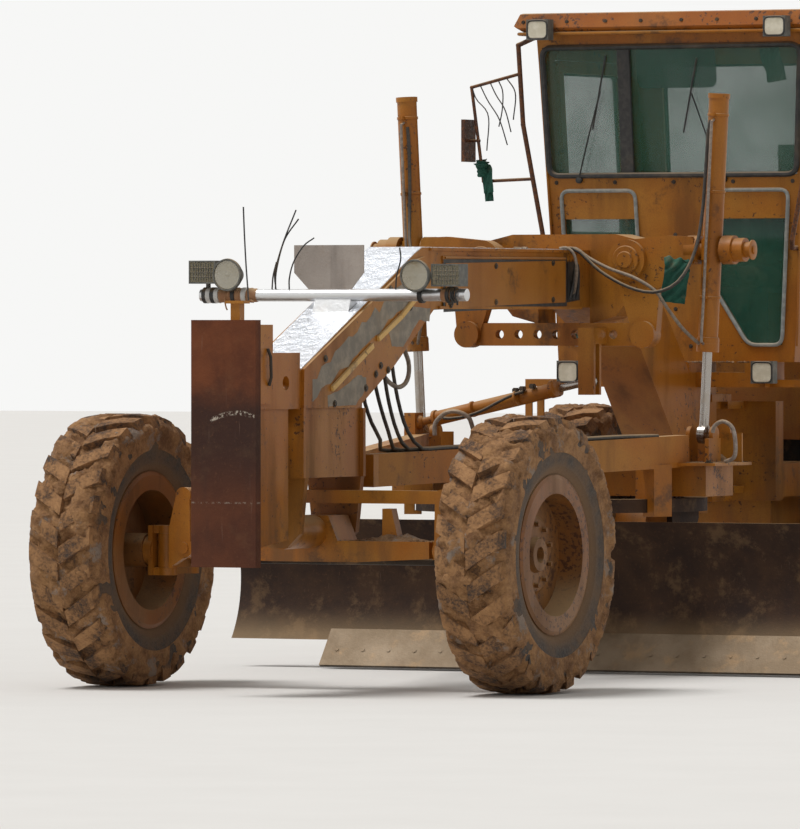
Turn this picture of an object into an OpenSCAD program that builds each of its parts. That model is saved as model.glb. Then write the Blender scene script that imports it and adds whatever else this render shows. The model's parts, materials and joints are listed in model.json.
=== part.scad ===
// Motor grader: arched front frame with a push block, leaning and steering front
// wheels, drawbar, circle and blade, cab, articulated rear frame and tandem drive.
// Millimetres. +Z is up, the machine faces -Y and its left side is +X.
// Modules are drawn from the front axle: Y is the distance behind it.

/* [Whole machine] */
// Front axle to the middle of the tandem drives
wheelbase = 6200; // [6000:10:6500]
// Distance between the two rear wheels of one side
tandem_pitch = 1520; // [1480:10:1560]
// Distance between the middles of the left and right tyres
track = 2250; // [2200:10:2350]
// From the front axle to the face of the push block
nose_reach = 1060; // [1000:10:1200]
// From the middle of the tandem drives to the rear bumper
tail_reach = 1500; // [1450:10:1700]

/* [Tyres and rims] */
// Outside diameter of a tyre over its lugs
tyre_d = 1370; // [1340:5:1400]
// Width of a tyre
tyre_w = 375; // [350:5:380]
// Depth of the tread lugs
lug_h = 32; // [20:1:45]
// Width of a rim between its flanges
rim_w = 300; // [280:5:310]
// Inside diameter of the rim opening
rim_bore = 605; // [590:5:620]
// Outside diameter of the rim flange
rim_flange_d = 790; // [760:5:800]
// Radius of a wheel spindle
spindle_r = 40; // [32:1:50]

/* [Front axle] */
// Height of the axle's rocking pin
rock_z = 790; // [770:5:800]
// Radius of the axle's rocking pin
rock_r = 45; // [35:1:50]
// Distance of the wheel lean pins from the middle
lean_x = 720; // [700:5:730]
// Height of the lower lean pins
lean_z = 700; // [690:5:710]
// Height of the lean bar
lean_bar_z = 962; // [955:1:968]
// Distance of the kingpins from the middle
king_x = 870; // [860:1:880]
// Reach of the steering arms behind the kingpins
steer_arm = 275; // [265:5:290]
// Height of the tie rod
tie_z = 636; // [632:1:640]

/* [Front frame] */
// Width of the main beam
beam_w = 300; // [260:10:320]
// Height of the top of the main beam
beam_top = 2206; // [2150:2:2230]
// Depth of the main beam
beam_h = 310; // [280:5:320]
// Height of the bottom of the nose box
nose_bottom = 1062; // [1056:1:1090]
// Width of the push block
block_w = 354; // [320:2:400]
// Height of the lamp bar over the ground
lamp_bar_z = 1964; // [1950:2:1990]
// Diameter of the lamp bar
lamp_bar_d = 62; // [50:1:70]
// Distance of the hitch pin from the front axle
hitch_y = 4550; // [4500:10:4600]

/* [Blade gear] */
// Distance of the circle's middle from the front axle
circle_y = 2770; // [2700:10:2800]
// Outside diameter of the circle
circle_d = 1530; // [1450:10:1560]
// Length of the blade
blade_l = 3660; // [3500:10:3700]
// Height of the lower edge of the moldboard
blade_z = 150; // [140:2:170]
// Height of the moldboard along its chord
blade_h = 640; // [600:5:650]
// Thickness of the moldboard
blade_t = 22; // [16:1:25]
// Radius of the moldboard's front face
blade_r = 520; // [480:5:600]
// Height of the cutting edge over the ground
edge_clear = 12; // [5:1:30]
// Length of cutting edge missing at the right end
edge_gap = 583; // [400:1:700]

/* [Cylinders] */
// Outside diameter of a lift cylinder
barrel_d = 104; // [90:1:110]
// Diameter of a lift cylinder's rod
rod_d = 50; // [40:1:56]

/* [Cab] */
// Height of the cab floor
cab_z = 1615; // [1610:1:1640]
// Half width of the cab at its floor
cab_x = 700; // [680:5:710]
// Distance of the cab's front from the front axle, at the floor
cab_y = 4200; // [4180:5:4230]
// Depth of the cab along the machine
cab_l = 1150; // [1100:10:1180]
// Thickness of the cab's walls
cab_t = 45; // [40:1:60]
// Height of the roof's top
roof_z = 3500; // [3480:5:3540]

/* [Hidden] */
$fn = 48;
fit = 0.3;              // running and seating clearance
play = 6;               // room beside a part that turns
overall_l = nose_reach + wheelbase + tail_reach;
axle_y = nose_reach - overall_l / 2;
wheel_z = tyre_d / 2;
wheel_x = track / 2;
front_tandem_y = wheelbase - tandem_pitch / 2;
rear_tandem_y = wheelbase + tandem_pitch / 2;

// gooseneck corners
slope_foot = [-517, 1598];
slope_head = [727, 2170];
slope_rise = (slope_head[1] - slope_foot[1]) / (slope_head[0] - slope_foot[0]);
function slope_z(y) = slope_foot[1] + (y - slope_foot[0]) * slope_rise;
nose_front = -533;
nose_rear = 145;
beam_under = beam_top - beam_h;
hang_t = 40;
hang_front = -480;      // front face of the front hanger
hang_rear = 130;        // front face of the rear hanger
hang_bottom = 715;
lamp_y = 140;

// lift gear
lift_y = circle_y;
eye_x = 820;
eye_z = 1245;
trunnion_x = 868;
trunnion_z = 2205;
barrel_top_z = 3020;
barrel_end_z = 1674;
arm_hub_x = 420;
arm_hub_z = 2155;
link_pin_x = 510;
link_pin_z = 1765;
barrel_lean = atan((trunnion_x - eye_x) / (trunnion_z - eye_z));

// drawbar
ball_y = 262;
ball_z = 1085;
ball_r = 60;
cross_x = 910;
cross_front = lift_y - 170;
cross_back = lift_y + 170;
cross_top = 1085;
cross_bottom = 924;
circle_top = 912;
circle_h = 70;
arm_x = 560;            // middle of a blade carrier
tip_y = 2835;
tip_z = 265;
pin_r = 25;
blade_edge_y = 2530;
rail_y = 2680;          // front of the rail heads
shift_y = 2708;         // side shift cylinder
shift_z = 455;

// cab
cab_tilt = 3.05;        // outward lean of the side walls
cab_lean = 4.0;         // forward lean of the front
cab_back = cab_y + cab_l;
cab_top = roof_z - 110;
door_front = cab_y + 120;
door_back = cab_y + 960;
door_low = 80;
door_high = cab_top - cab_z - 135;

// rear frame
hood_front = 5650;
hood_x = 450;
hood_z = 1180;
hood_top = 2060;
rail_x = 340;
tail = wheelbase + tail_reach;
tow_set = 90;           // bumper's face ahead of the tow ears' ends

paint = "goldenrod";

// Shared shapes

// a block between two opposite corners
module block(lo, hi) { translate(lo) cube(hi - lo); }

// a shape and its mirror image on the other side
module both_sides() { children(); mirror([1, 0, 0]) children(); }

// one side only: 1 is left, -1 is right
module on_side(side) { if (side > 0) children(); else mirror([1, 0, 0]) children(); }

// a side view of [y, z] points given the width x0 to x1
module side_view(x0, x1) {
    translate([x0, 0, 0]) rotate([90, 0, 90]) linear_extrude(x1 - x0) children();
}

// a front view of [x, z] points given the depth y0 to y1
module front_view(y0, y1) {
    translate([0, y1, 0]) rotate([90, 0, 0]) linear_extrude(y1 - y0) children();
}

// a round bar across the machine, along it, or upright
module bar_x(x0, x1, y, z, r) { translate([x0, y, z]) rotate([0, 90, 0]) cylinder(h = x1 - x0, r = r); }
module bar_y(x, y0, y1, z, r) { translate([x, y1, z]) rotate([90, 0, 0]) cylinder(h = y1 - y0, r = r); }
module bar_z(x, y, z0, z1, r) { translate([x, y, z0]) cylinder(h = z1 - z0, r = r); }

// a round bar from point p to point q
module bar(p, q, r) {
    d = q - p;
    translate(p) rotate([0, acos(d[2] / norm(d)), atan2(d[1], d[0])]) cylinder(h = norm(d), r = r);
}

// a box beam from point p to point q, w wide and h high
module box_beam(p, q, w, h) {
    d = q - p;
    translate(p) rotate([0, -asin(d[2] / norm(d)), atan2(d[1], d[0])])
        translate([0, -w / 2, -h / 2]) cube([norm(d), w, h]);
}

// a bent tube through a list of points, with ball joints at the bends
module tube(points, r) {
    for (i = [0 : len(points) - 2]) bar(points[i], points[i + 1], r);
    for (i = [1 : len(points) - 2]) translate(points[i]) sphere(r = r + 1);
}

// Front frame

block_t = 55;           // thickness of the push block
head_t = 130;           // depth of the bracket's head behind the block
block_z = [634, 1840];

module push_block() {
    color("saddlebrown") block([-block_w / 2, -nose_reach, block_z[0]],
                               [block_w / 2, block_t - nose_reach, block_z[1]]);
}

module push_bracket() {
    front = block_t - nose_reach;
    back = front + head_t;
    post = 50;
    color(paint) difference() {
        union() {
            // head behind the block, with a short post on top
            block([-block_w / 2, front, 1431], [block_w / 2, back, block_z[1] - 23]);
            block([-post / 2, back - 60, block_z[1] - 24], [post / 2, back - 60 + post, 1920]);
            block([-post, back - 70, 1920], [post, back, 1934]);
            // cheeks and the flanges that join them to the block and the nose
            both_sides() {
                block([130, back - 1, 1403], [150, nose_front, 1679]);
                side_view(105, 131) polygon([
                    [front, 720], [nose_front - 90, 760], [nose_front - 90, 1400], [nose_front, 1420],
                    [nose_front, 1580], [back, 1640], [front, 1640]]);
            }
            block([-150, nose_front - 26, 1400], [150, nose_front, 1600]);
            block([-106, front, 700], [106, front + 26, 1500]);
            block([-106, nose_front - 180, 740], [106, nose_front - 155, 1430]);
            block([-150, front, 1403], [150, nose_front - 90, 1431]);
        }
        both_sides() translate([90, (back + nose_front) / 2 + 20, 1530]) rotate([0, 90, 0])
            cylinder(h = 70, r = 35);
    }
}

module main_frame() {
    half = beam_w / 2;
    lip = 12;
    top_y = 3173;
    color(paint) difference() {
        union() {
            // arched box beam from the nose to the hitch
            side_view(-half, half) polygon([
                [nose_front, nose_bottom], [nose_rear, nose_bottom], [nose_rear, 1441],
                [479, 1614], [960, beam_under], [2950, beam_under + 10], [3420, 1700],
                [3950, 1100], [4100, 900], [4400, 860], [4400, 1560], [4050, 1560],
                [3560, 2080], [top_y, beam_top], [820, beam_top], slope_head, slope_foot,
                [nose_front, slope_foot[1] - 10]]);
            // cheek plates on both sides of the gooseneck
            both_sides() side_view(half, half + 16) polygon([
                slope_foot, [-522, 1407], [67, 1402], [145, 1441], [479, 1614], [909, 1885],
                [820, 2160], [700, 2140]]);
            // lips along the top and the bottom of the beam
            block([-half - lip, 900, beam_top - 14], [half + lip, 2680, beam_top]);
            block([-half - lip, 1000, beam_under], [half + lip, 2680, beam_under + 14]);
            // side covers
            both_sides() block([half, 1040, beam_under + 40], [half + 8, 2460, beam_top - 40]);
            // upright flanges of the nose
            block([-half - 20, nose_front, nose_bottom], [half + 20, nose_front + 25, 1407]);
            block([-half - 20, nose_rear - 25, nose_bottom], [half + 20, nose_rear, 1402]);
            // hangers for the axle's rocking pin
            for (y = [hang_front, hang_rear]) front_view(y, y + hang_t) polygon([
                [-half, nose_bottom], [-120, hang_bottom + 70], [-50, hang_bottom],
                [50, hang_bottom], [120, hang_bottom + 70], [half, nose_bottom]]);
            // cup for the drawbar's ball
            bar_y(0, nose_rear, ball_y - ball_r - fit, ball_z + 20, 85);
            block([-85, nose_rear - 25, nose_bottom], [85, ball_y - ball_r - fit, ball_z + 105]);
            // hitch plates
            for (z = [860, 1400]) {
                block([-170, 4300, z], [170, hitch_y, z + 40]);
                bar_z(0, hitch_y, z, z + 40, 110);
            }
            // lift gear saddle
            both_sides() front_view(2800, 3000) polygon([
                [half, 1820], [300, 1860], [470, 2060], [500, 2155], [470, 2250],
                [300, 2290], [half, 2290]]);
            block([-half, 2800, beam_top], [half, 3000, 2290]);
            both_sides() bar_y(arm_hub_x, 2760, 2800, arm_hub_z, 95);
            // cab mounts
            both_sides() block([half, 4130, 1480], [560, 4380, 1560]);
            block([-half, 4050, 1560], [half, 4400, cab_z]);
            both_sides() block([440, 4130, 1560], [560, 4380, cab_z]);
        }
        for (y = [hang_front, hang_rear]) bar_y(0, y - 1, y + hang_t + 1, rock_z, rock_r + fit);
        for (z = [860, 1400]) bar_z(0, hitch_y, z - 1, z + 41, 45 + fit);
        both_sides() bar_y(arm_hub_x, 2700, 2790, arm_hub_z, 50 + fit);
    }
}

module slope_plate() {
    t = 4;
    color("silver") difference() {
        side_view(-beam_w / 2 + 2, beam_w / 2 - 2) polygon([
            slope_foot, slope_head, [820, beam_top], [2600, beam_top], [2600, beam_top + t],
            [818, beam_top + t], slope_head + [-2, t], slope_foot + [0, t]]);
        // room for the foot of the lamp bar
        block([-102, lamp_y - 52, 1800], [102, lamp_y + 52, 2000]);
    }
}

module lamp_bar() {
    color("silver") {
        bar_x(-750, 735, lamp_y, lamp_bar_z, lamp_bar_d / 2);
        // foot on the slope
        side_view(-100, 100) polygon([
            [lamp_y - 50, slope_z(lamp_y - 50) + fit], [lamp_y + 50, slope_z(lamp_y + 50) + fit],
            [lamp_y + 20, lamp_bar_z - 12], [lamp_y - 20, lamp_bar_z - 12]]);
    }
}

// upright plate on the bar, with its lower corners cut
module marker_plate() {
    low = lamp_bar_z + lamp_bar_d / 2 - 6;
    color("gray") difference() {
        front_view(lamp_y - 4, lamp_y + 4) polygon([
            [-226, 2214], [-226, 2076], [-140, low], [90, low], [163, 2076], [163, 2214]]);
        bar_x(-300, 300, lamp_y, lamp_bar_z, lamp_bar_d / 2 + fit);
    }
}

// lamps on the bar: [x, z, width, height], a width of 0 is a round lamp
bar_lamps = [[-562, 2066, 0, 160], [488, 2060, 0, 160], [-712, 2080, 150, 116], [650, 2062, 160, 112]];
// lamps on the cab: [x, front y, z, width, height, depth]
cab_lamps = [[700, cab_y - 270 - fit, roof_z - 92, 130, 110, 70],
    [575, cab_y - 150, cab_z - 54, 130, 120, 60]];

module lamps() {
    color("dimgray") {
        for (lamp = bar_lamps) {
            foot = lamp_bar_z + lamp_bar_d / 2 - 6;
            difference() {
                union() {
                    if (lamp[2] == 0) {
                        translate([lamp[0], lamp_y + 20, lamp[1]]) rotate([90, 0, 0])
                            cylinder(h = 90, r1 = lamp[3] / 4, r2 = lamp[3] / 2);
                        translate([lamp[0], lamp_y - 70, lamp[1]]) rotate([90, 0, 0])
                            cylinder(h = 22, r = lamp[3] / 2);
                    } else
                        block([lamp[0] - lamp[2] / 2, lamp_y - 70, lamp[1] - lamp[3] / 2],
                              [lamp[0] + lamp[2] / 2, lamp_y + 20, lamp[1] + lamp[3] / 2]);
                    bar_z(lamp[0], lamp_y, foot, lamp[1] - lamp[3] / 4, 12);
                }
                if (lamp[2] == 0) translate([lamp[0], lamp_y - 80, lamp[1]]) rotate([90, 0, 0])
                    cylinder(h = 30, r = lamp[3] / 2 - 8);
                else block([lamp[0] - lamp[2] / 2 + 8, lamp_y - 80, lamp[1] - lamp[3] / 2 + 8],
                           [lamp[0] + lamp[2] / 2 - 8, lamp_y - 60, lamp[1] + lamp[3] / 2 - 8]);
                bar_x(lamp[0] - 200, lamp[0] + 200, lamp_y, lamp_bar_z, lamp_bar_d / 2 + fit);
            }
        }
        for (lamp = cab_lamps) both_sides() difference() {
            union() {
                block([lamp[0] - lamp[3] / 2, lamp[1], lamp[2] - lamp[4] / 2],
                      [lamp[0] + lamp[3] / 2, lamp[1] + lamp[5], lamp[2] + lamp[4] / 2]);
                // stem of the lower lamp, back to the cab's mount
                if (lamp[2] < cab_z) bar_y(530, lamp[1] + lamp[5] - 1, cab_y - 70 - fit, lamp[2] - 30, 12);
            }
            block([lamp[0] - lamp[3] / 2 + 8, lamp[1] - 1, lamp[2] - lamp[4] / 2 + 8],
                  [lamp[0] + lamp[3] / 2 - 8, lamp[1] + 10, lamp[2] + lamp[4] / 2 - 8]);
        }
    }
}

module lamp_lenses() {
    color("white") {
        for (lamp = bar_lamps)
            if (lamp[2] == 0) translate([lamp[0], lamp_y - 80, lamp[1]]) rotate([90, 0, 0])
                cylinder(h = 8, r = lamp[3] / 2 - 8 - fit);
            else block([lamp[0] - lamp[2] / 2 + 8 + fit, lamp_y - 68, lamp[1] - lamp[3] / 2 + 8 + fit],
                       [lamp[0] + lamp[2] / 2 - 8 - fit, lamp_y - 60, lamp[1] + lamp[3] / 2 - 8 - fit]);
        for (lamp = cab_lamps) both_sides()
            block([lamp[0] - lamp[3] / 2 + 8 + fit, lamp[1] + 2, lamp[2] - lamp[4] / 2 + 8 + fit],
                  [lamp[0] + lamp[3] / 2 - 8 - fit, lamp[1] + 10, lamp[2] + lamp[4] / 2 - 8 - fit]);
    }
}

// one bell-shaped arm of the lift gear; it carries a lift cylinder at its outer end
module lift_arm() {
    front = 2700;
    back = 2760 - fit;
    difference() {
        union() {
            bar_y(arm_hub_x, front - 30, back, arm_hub_z, 105);
            bar_y(arm_hub_x, front - 30, 2785, arm_hub_z, 50);
            bar_y(link_pin_x, front - 30, back, link_pin_z, 70);
            front_view(front, back) polygon([
                [arm_hub_x - 100, arm_hub_z - 20], [link_pin_x - 68, link_pin_z + 10],
                [link_pin_x + 68, link_pin_z + 10], [arm_hub_x + 180, arm_hub_z - 150],
                [730, trunnion_z - 80], [780, trunnion_z - 70], [780, trunnion_z + 70],
                [640, trunnion_z + 75], [arm_hub_x, arm_hub_z + 104]]);
            // bearing inside the cylinder, web behind it and bearing outside it
            bar_x(735, 800, lift_y, trunnion_z, 75);
            block([735, lift_y + 75, trunnion_z - 60], [1000, lift_y + 125, trunnion_z + 60]);
            block([735, front, trunnion_z - 60], [790, lift_y + 125, trunnion_z + 60]);
            bar_x(936, 1000, lift_y, trunnion_z, 75);
            block([946, lift_y, trunnion_z - 60], [1000, lift_y + 125, trunnion_z + 60]);
            bar_x(1000, 1060, lift_y, trunnion_z, 62);
            bar_x(1060, 1096, lift_y, trunnion_z, 40);
        }
        bar_x(734, 998, lift_y, trunnion_z, 35 + fit);
        // room for the barrel
        bar_x(800, 936, lift_y, trunnion_z, 70);
    }
}

module lift_arms() {
    color(paint) {
        both_sides() lift_arm();
        // bar that links the arms under the beam, with its row of locking holes
        difference() {
            block([-link_pin_x, 2705, link_pin_z - 60], [link_pin_x, 2755, link_pin_z + 60]);
            for (i = [-3 : 3]) bar_y(i * 110, 2700, 2760, link_pin_z, 24);
        }
        // hanger for the shift cylinder's rod
        for (y = [shift_head[1] - 46, shift_head[1] + 24])
            block([shift_head[0] - 45, y, shift_head[2] - 70], [shift_head[0] + 45, y + 22, 1715]);
        block([shift_head[0] - 45, shift_head[1] - 46, 1714], [shift_head[0] + 45, 2706, 1800]);
    }
}

// Cab

glass_top = cab_top - 75;
cab_upper_glass = [[-763, glass_top], [-739, 2622], [727, 2622], [767, glass_top]];
cab_rear_glass = [[-560, 2350], [560, 2350], [600, cab_top - 140], [-600, cab_top - 140]];
cab_lower_glass = [[233, 2540], [674, 2540], [628, 1707], [429, 1707], [210, 2040]];

// half width of the cab at height z
function cab_half(z) = cab_x + (z - cab_z) * tan(cab_tilt);
// front face of the cab at height z
function cab_face(z) = cab_y - max(0, z - 2243) * tan(cab_lean);

// the cab as a closed form, drawn in by an inset
module cab_form(inset) {
    intersection() {
        front_view(cab_y - 300, cab_back - inset) polygon([
            [-cab_half(cab_z) + inset, cab_z + inset], [cab_half(cab_z) - inset, cab_z + inset],
            [cab_half(cab_top) - inset, cab_top - inset], [-cab_half(cab_top) + inset, cab_top - inset]]);
        side_view(-1000, 1000) polygon([
            [cab_y + inset, cab_z - 1], [cab_y + inset, 2243], [cab_face(cab_top) + inset, cab_top + 1],
            [cab_back - inset, cab_top + 1], [cab_back - inset, cab_z - 1]]);
    }
}

// places a flat shape on the outer face of a leaning side wall; x is outward
module on_wall() { translate([cab_x, 0, cab_z]) rotate([0, cab_tilt, 0]) children(); }

handle_z = 500;         // foot of a door handle over the cab floor
hinge_out = 18;         // hinge pin outside the wall's face
hinge_y = door_back + 12;
hinge_zs = [260, door_high - 260];

door_outline = [[door_front, 230], [door_front + 130, door_low], [door_back, door_low],
    [door_back, door_high], [door_front - 40, door_high], [door_front - 10, 620]];
// the door's panel, with a gap all round
gap = 5;
door_panel = [[door_front + gap, 232], [door_front + 132, door_low + gap],
    [door_back - gap, door_low + gap], [door_back - gap, door_high - gap],
    [door_front - 40 + gap, door_high - gap], [door_front - 10 + gap, 620]];
door_upper = [[door_front + 40, 700], [door_back - 70, 700], [door_back - 70, door_high - 70],
    [door_front + 25, door_high - 70]];
door_lower = [[door_front + 60, 270], [door_front + 150, 160], [door_back - 70, 160],
    [door_back - 70, 620], [door_front + 50, 620]];

// hinge pins of one door and the brackets that hold them
module hinge_pins() {
    on_wall() for (z = hinge_zs) {
        bar_z(hinge_out, hinge_y, z - 60, z + 60, 8);
        for (end = [z - 60, z + 36]) {
            bar_z(hinge_out, hinge_y, end, end + 24, 15);
            block([-cab_t / 2, hinge_y - 2, end], [hinge_out, hinge_y + 14, end + 24]);
        }
    }
}

module cab_shell() {
    color(paint) both_sides() hinge_pins();
    color(paint) difference() {
        cab_form(0);
        cab_form(cab_t);
        // windscreen, lower front windows and rear window
        front_view(cab_y - 300, cab_y + cab_t + 60) polygon(cab_upper_glass);
        both_sides() front_view(cab_y - 10, cab_y + cab_t + 20) polygon(cab_lower_glass);
        front_view(cab_back - cab_t - 20, cab_back + 20) polygon(cab_rear_glass);
        both_sides() on_wall() side_view(-cab_t - 60, 60) polygon(door_outline);
    }
}

module cab_roof() {
    half = 874;
    front = cab_y - 200;
    back = cab_back + 60;
    color("chocolate") intersection() {
        side_view(-half, half) polygon([
            [front + 30, cab_top], [front, cab_top + 30], [front + 25, roof_z - 6], [front + 60, roof_z],
            [back - 60, roof_z], [back, roof_z - 40], [back, cab_top]]);
        front_view(front, back) polygon([
            [-half + 60, cab_top], [-half, cab_top + 40], [-half + 30, roof_z], [half - 30, roof_z],
            [half, cab_top + 40], [half - 60, cab_top]]);
    }
}

module pane_front(points, y0, y1) { front_view(y0, y1) polygon(points); }

module cab_glass() {
    mid = cab_t / 2;
    color("lightblue") {
        // windscreen leans with the front
        intersection() {
            pane_front(cab_upper_glass, cab_y - 300, cab_y + 60);
            side_view(-900, 900) polygon([
                [cab_face(2600) + mid - 3, 2600], [cab_face(cab_top) + mid - 3, cab_top],
                [cab_face(cab_top) + mid + 3, cab_top], [cab_face(2600) + mid + 3, 2600]]);
        }
        both_sides() pane_front(cab_lower_glass, cab_y + mid - 3, cab_y + mid + 3);
        pane_front(cab_rear_glass, cab_back - mid - 3, cab_back - mid + 3);
    }
}

module door(side) {
    color(paint) on_side(side) on_wall() {
        difference() {
            side_view(-cab_t, 0) polygon(door_panel);
            side_view(-cab_t - 1, 1) polygon(door_upper);
            side_view(-cab_t - 1, 1) polygon(door_lower);
        }
        // handle
        for (z = [handle_z, handle_z + 150])
            block([-2, door_front + 30, z], [28, door_front + 46, z + 16]);
        bar_z(28, door_front + 38, handle_z - 4, handle_z + 170, 9);
        // hinge sleeves on the cab's pins
        for (z = hinge_zs) difference() {
            union() {
                bar_z(hinge_out, hinge_y, z - 36 + fit, z + 36 - fit, 15);
                block([-2, door_back - 60, z - 30], [6, door_back - 4, z + 30]);
                block([4, door_back - 20, z - 30], [hinge_out - 4, hinge_y - 6, z + 30]);
            }
            bar_z(hinge_out, hinge_y, z - 40, z + 40, 8 + fit);
        }
    }
}

module door_glass(side) {
    color("lightblue") on_side(side) on_wall() {
        side_view(-cab_t / 2 - 3, -cab_t / 2 + 3) polygon(door_upper);
        side_view(-cab_t / 2 - 3, -cab_t / 2 + 3) polygon(door_lower);
    }
}

module console() {
    floor_z = cab_z + cab_t;
    color("darkslategray") {
        // pedestal, leaning column and dash
        side_view(-130, 130) polygon([
            [cab_y + 90, floor_z], [cab_y + 260, floor_z], [cab_y + 330, 2330], [cab_y + 260, 2480],
            [cab_y + 120, 2480]]);
        front_view(cab_y + 130, cab_y + 250) polygon([
            [-330, 2280], [330, 2280], [330, 2400], [200, 2470], [-200, 2470], [-330, 2400]]);
        // steering wheel
        translate([0, cab_y + 380, 2500]) rotate([-35, 0, 0]) {
            rotate_extrude() translate([190, 0]) circle(r = 15, $fn = 24);
            for (a = [0 : 120 : 240]) rotate([0, 0, a]) translate([0, -10, -8]) cube([190, 20, 16]);
            translate([0, 0, -170]) cylinder(h = 180, r = 28);
        }
        // levers on both sides of the column
        both_sides() for (i = [0 : 3])
            bar_z(220 + i * 30, cab_y + 190, 2380, 2600, 6);
    }
}

// front of the seat's backrest at height h over the floor
function seat_back(h) = cab_y + 1010 + (h - 330) * 50 / 630;

module seat() {
    floor_z = cab_z + cab_t;
    color("dimgray") {
        block([-180, cab_y + 640, floor_z], [180, cab_y + 980, floor_z + 60]);
        block([-130, cab_y + 690, floor_z + 60], [130, cab_y + 930, floor_z + 330]);
        block([-240, cab_y + 590, floor_z + 330], [240, cab_y + 1010, floor_z + 360]);
        side_view(-200, 200) polygon([
            [cab_y + 1006, floor_z + 330], [cab_y + 1035, floor_z + 330], [cab_y + 1085, floor_z + 960],
            [cab_y + 1060, floor_z + 960], [seat_back(360), floor_z + 360], [cab_y + 1006, floor_z + 360]]);
    }
}

module seat_cushions() {
    floor_z = cab_z + cab_t;
    color("black") {
        block([-240, cab_y + 570, floor_z + 360 + fit], [240, cab_y + 1000, floor_z + 470]);
        side_view(-230, 230) polygon([
            [cab_y + 900, floor_z + 470 + fit], [seat_back(470) - fit, floor_z + 470 + fit],
            [seat_back(940) - fit, floor_z + 940], [cab_y + 960, floor_z + 940]]);
    }
}

module mirror_frames() {
    y = cab_y - 110;
    color("saddlebrown") both_sides() {
        tube([[795, y, cab_top - fit], [795, y, cab_top - 22], [889, y, cab_top - 60], [860, y, 2900],
              [735, y, 2270], [722, y + 30, 2228], [716, y + 60, 2226], [716, cab_y - fit, 2226]], 13);
        tube([[880, y, 3175], [1171, y, 3105], [1099, y, 2594], [804, y, 2605]], 9);
        block([1180, y - 70, 2700], [1200, y + 70, 2930]);
        bar([1120, y, 2815], [1185, y, 2815], 8);
    }
}

module cab_steps() {
    y0 = cab_y - 60;
    y1 = cab_y + 160;
    color(paint) both_sides() {
        block([560, y0 + 60, 1480], [900, y1, 1520]);
        for (y = [y0 + 60, y1 - 12]) block([860, y, 520], [900, y + 12, 1520]);
        for (z = [540, 850, 1160]) block([820, y0 + 60, z], [920, y1, z + 24]);
    }
}

// Front axle

module axle_beam() {
    end = lean_x - 72;
    color(paint) difference() {
        union() {
            front_view(-110, 110) polygon([
                [-end, 660], [-end, 745], [end, 745], [end, 660], [250, 640], [-250, 640]]);
            // middle block and sleeve round the rocking pin
            front_view(-110, 110) polygon([[-160, 700], [-90, rock_z + 80], [90, rock_z + 80], [160, 700]]);
            bar_y(0, hang_front + hang_t + fit, hang_rear - fit, rock_z, 82);
            bar_y(0, hang_front - 20, hang_rear + hang_t + 20, rock_z, rock_r);
            // eyes of the lean pins
            both_sides() bar_y(lean_x, -70, 70, lean_z, 55);
            both_sides() bar_y(lean_x, -125, 125, lean_z, 30);
            both_sides() block([end - 1, -70, lean_z - 45], [lean_x, 70, lean_z + 45]);
            // posts for the lean gear
            both_sides() front_view(-30, 30) polygon([[350, 740], [350, 905], [400, 905], [440, 740]]);
        }
        // the beam is an open trough on both sides
        both_sides() block([200, -92, 680], [end - 30, -31, 760]);
        both_sides() block([200, 31, 680], [end - 30, 92, 760]);
    }
}

// bracket that leans on the axle's end and carries the kingpin
module lean_bracket(side) {
    color(paint) on_side(side) difference() {
        union() {
            // two cheeks beside the axle's eye, joined outboard of it
            for (y = [-118, 76]) {
                bar_y(lean_x, y, y + 42, lean_z, 52);
                bar_y(lean_x, y, y + 42, lean_bar_z, 42);
                front_view(y, y + 42) polygon([
                    [lean_x - 40, lean_z], [lean_x - 36, lean_bar_z], [lean_x + 40, lean_bar_z],
                    [800, 800], [800, 600], [lean_x, lean_z - 52]]);
            }
            block([lean_x + 62, -118, 600], [800, 118, 790]);
            block([795, -40, 600], [king_x, 40, 770]);
            bar_z(king_x, 0, 600, 770, 48);
            bar_y(lean_x, -118, 118, lean_bar_z, 22);
        }
        for (y = [-118, 76]) bar_y(lean_x, y - 1, y + 43, lean_z, 30 + fit);
        bar_z(king_x, 0, 599, 771, 25 + fit);
    }
}

module lean_bar() {
    end = lean_x;
    color(paint) difference() {
        union() {
            block([-end + 40, -30, lean_bar_z - 32], [end - 40, 30, lean_bar_z + 33]);
            both_sides() bar_y(end, -70, 70, lean_bar_z, 40);
            both_sides() block([end - 45, -45, lean_bar_z - 33], [end, 45, lean_bar_z + 33]);
        }
        both_sides() bar_y(end, -71, 71, lean_bar_z, 22 + fit);
    }
}

// steering knuckle with its spindle and steering arm
module knuckle(side) {
    color(paint) on_side(side) union() {
        bar_z(king_x, 0, 570, 800, 25);
        for (z = [560, 771]) {
            bar_z(king_x, 0, z, z + 39, 50);
            block([king_x + 10, -44, z], [king_x + 60, 44, z + 39]);
        }
        block([king_x + 55, -58, 560], [king_x + 80, 58, 810]);
        bar_x(king_x + 60, wheel_x - 152, 0, wheel_z, 75);
        bar_x(wheel_x - 160, wheel_x + 30, 0, wheel_z, spindle_r);
        // steering arm towards the tie rod
        box_beam([king_x - 4, 20, 580], [tie_x, steer_arm - 18, 580], 50, 30);
        bar_z(tie_x, steer_arm, 562, 598, 30);
        // left: pin of the tie rod's end; right: ball that the tie rod's eye turns on
        if (side > 0) bar_z(tie_x, steer_arm, 590, tie_z + 26, 14);
        else {
            bar_z(tie_x, steer_arm, 590, tie_z, 9);
            translate([tie_x, steer_arm, tie_z]) sphere(r = 18);
        }
    }
}

tie_x = king_x;
tie_slack = 7;          // room that the right ball needs inwards when the wheels lean

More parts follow.
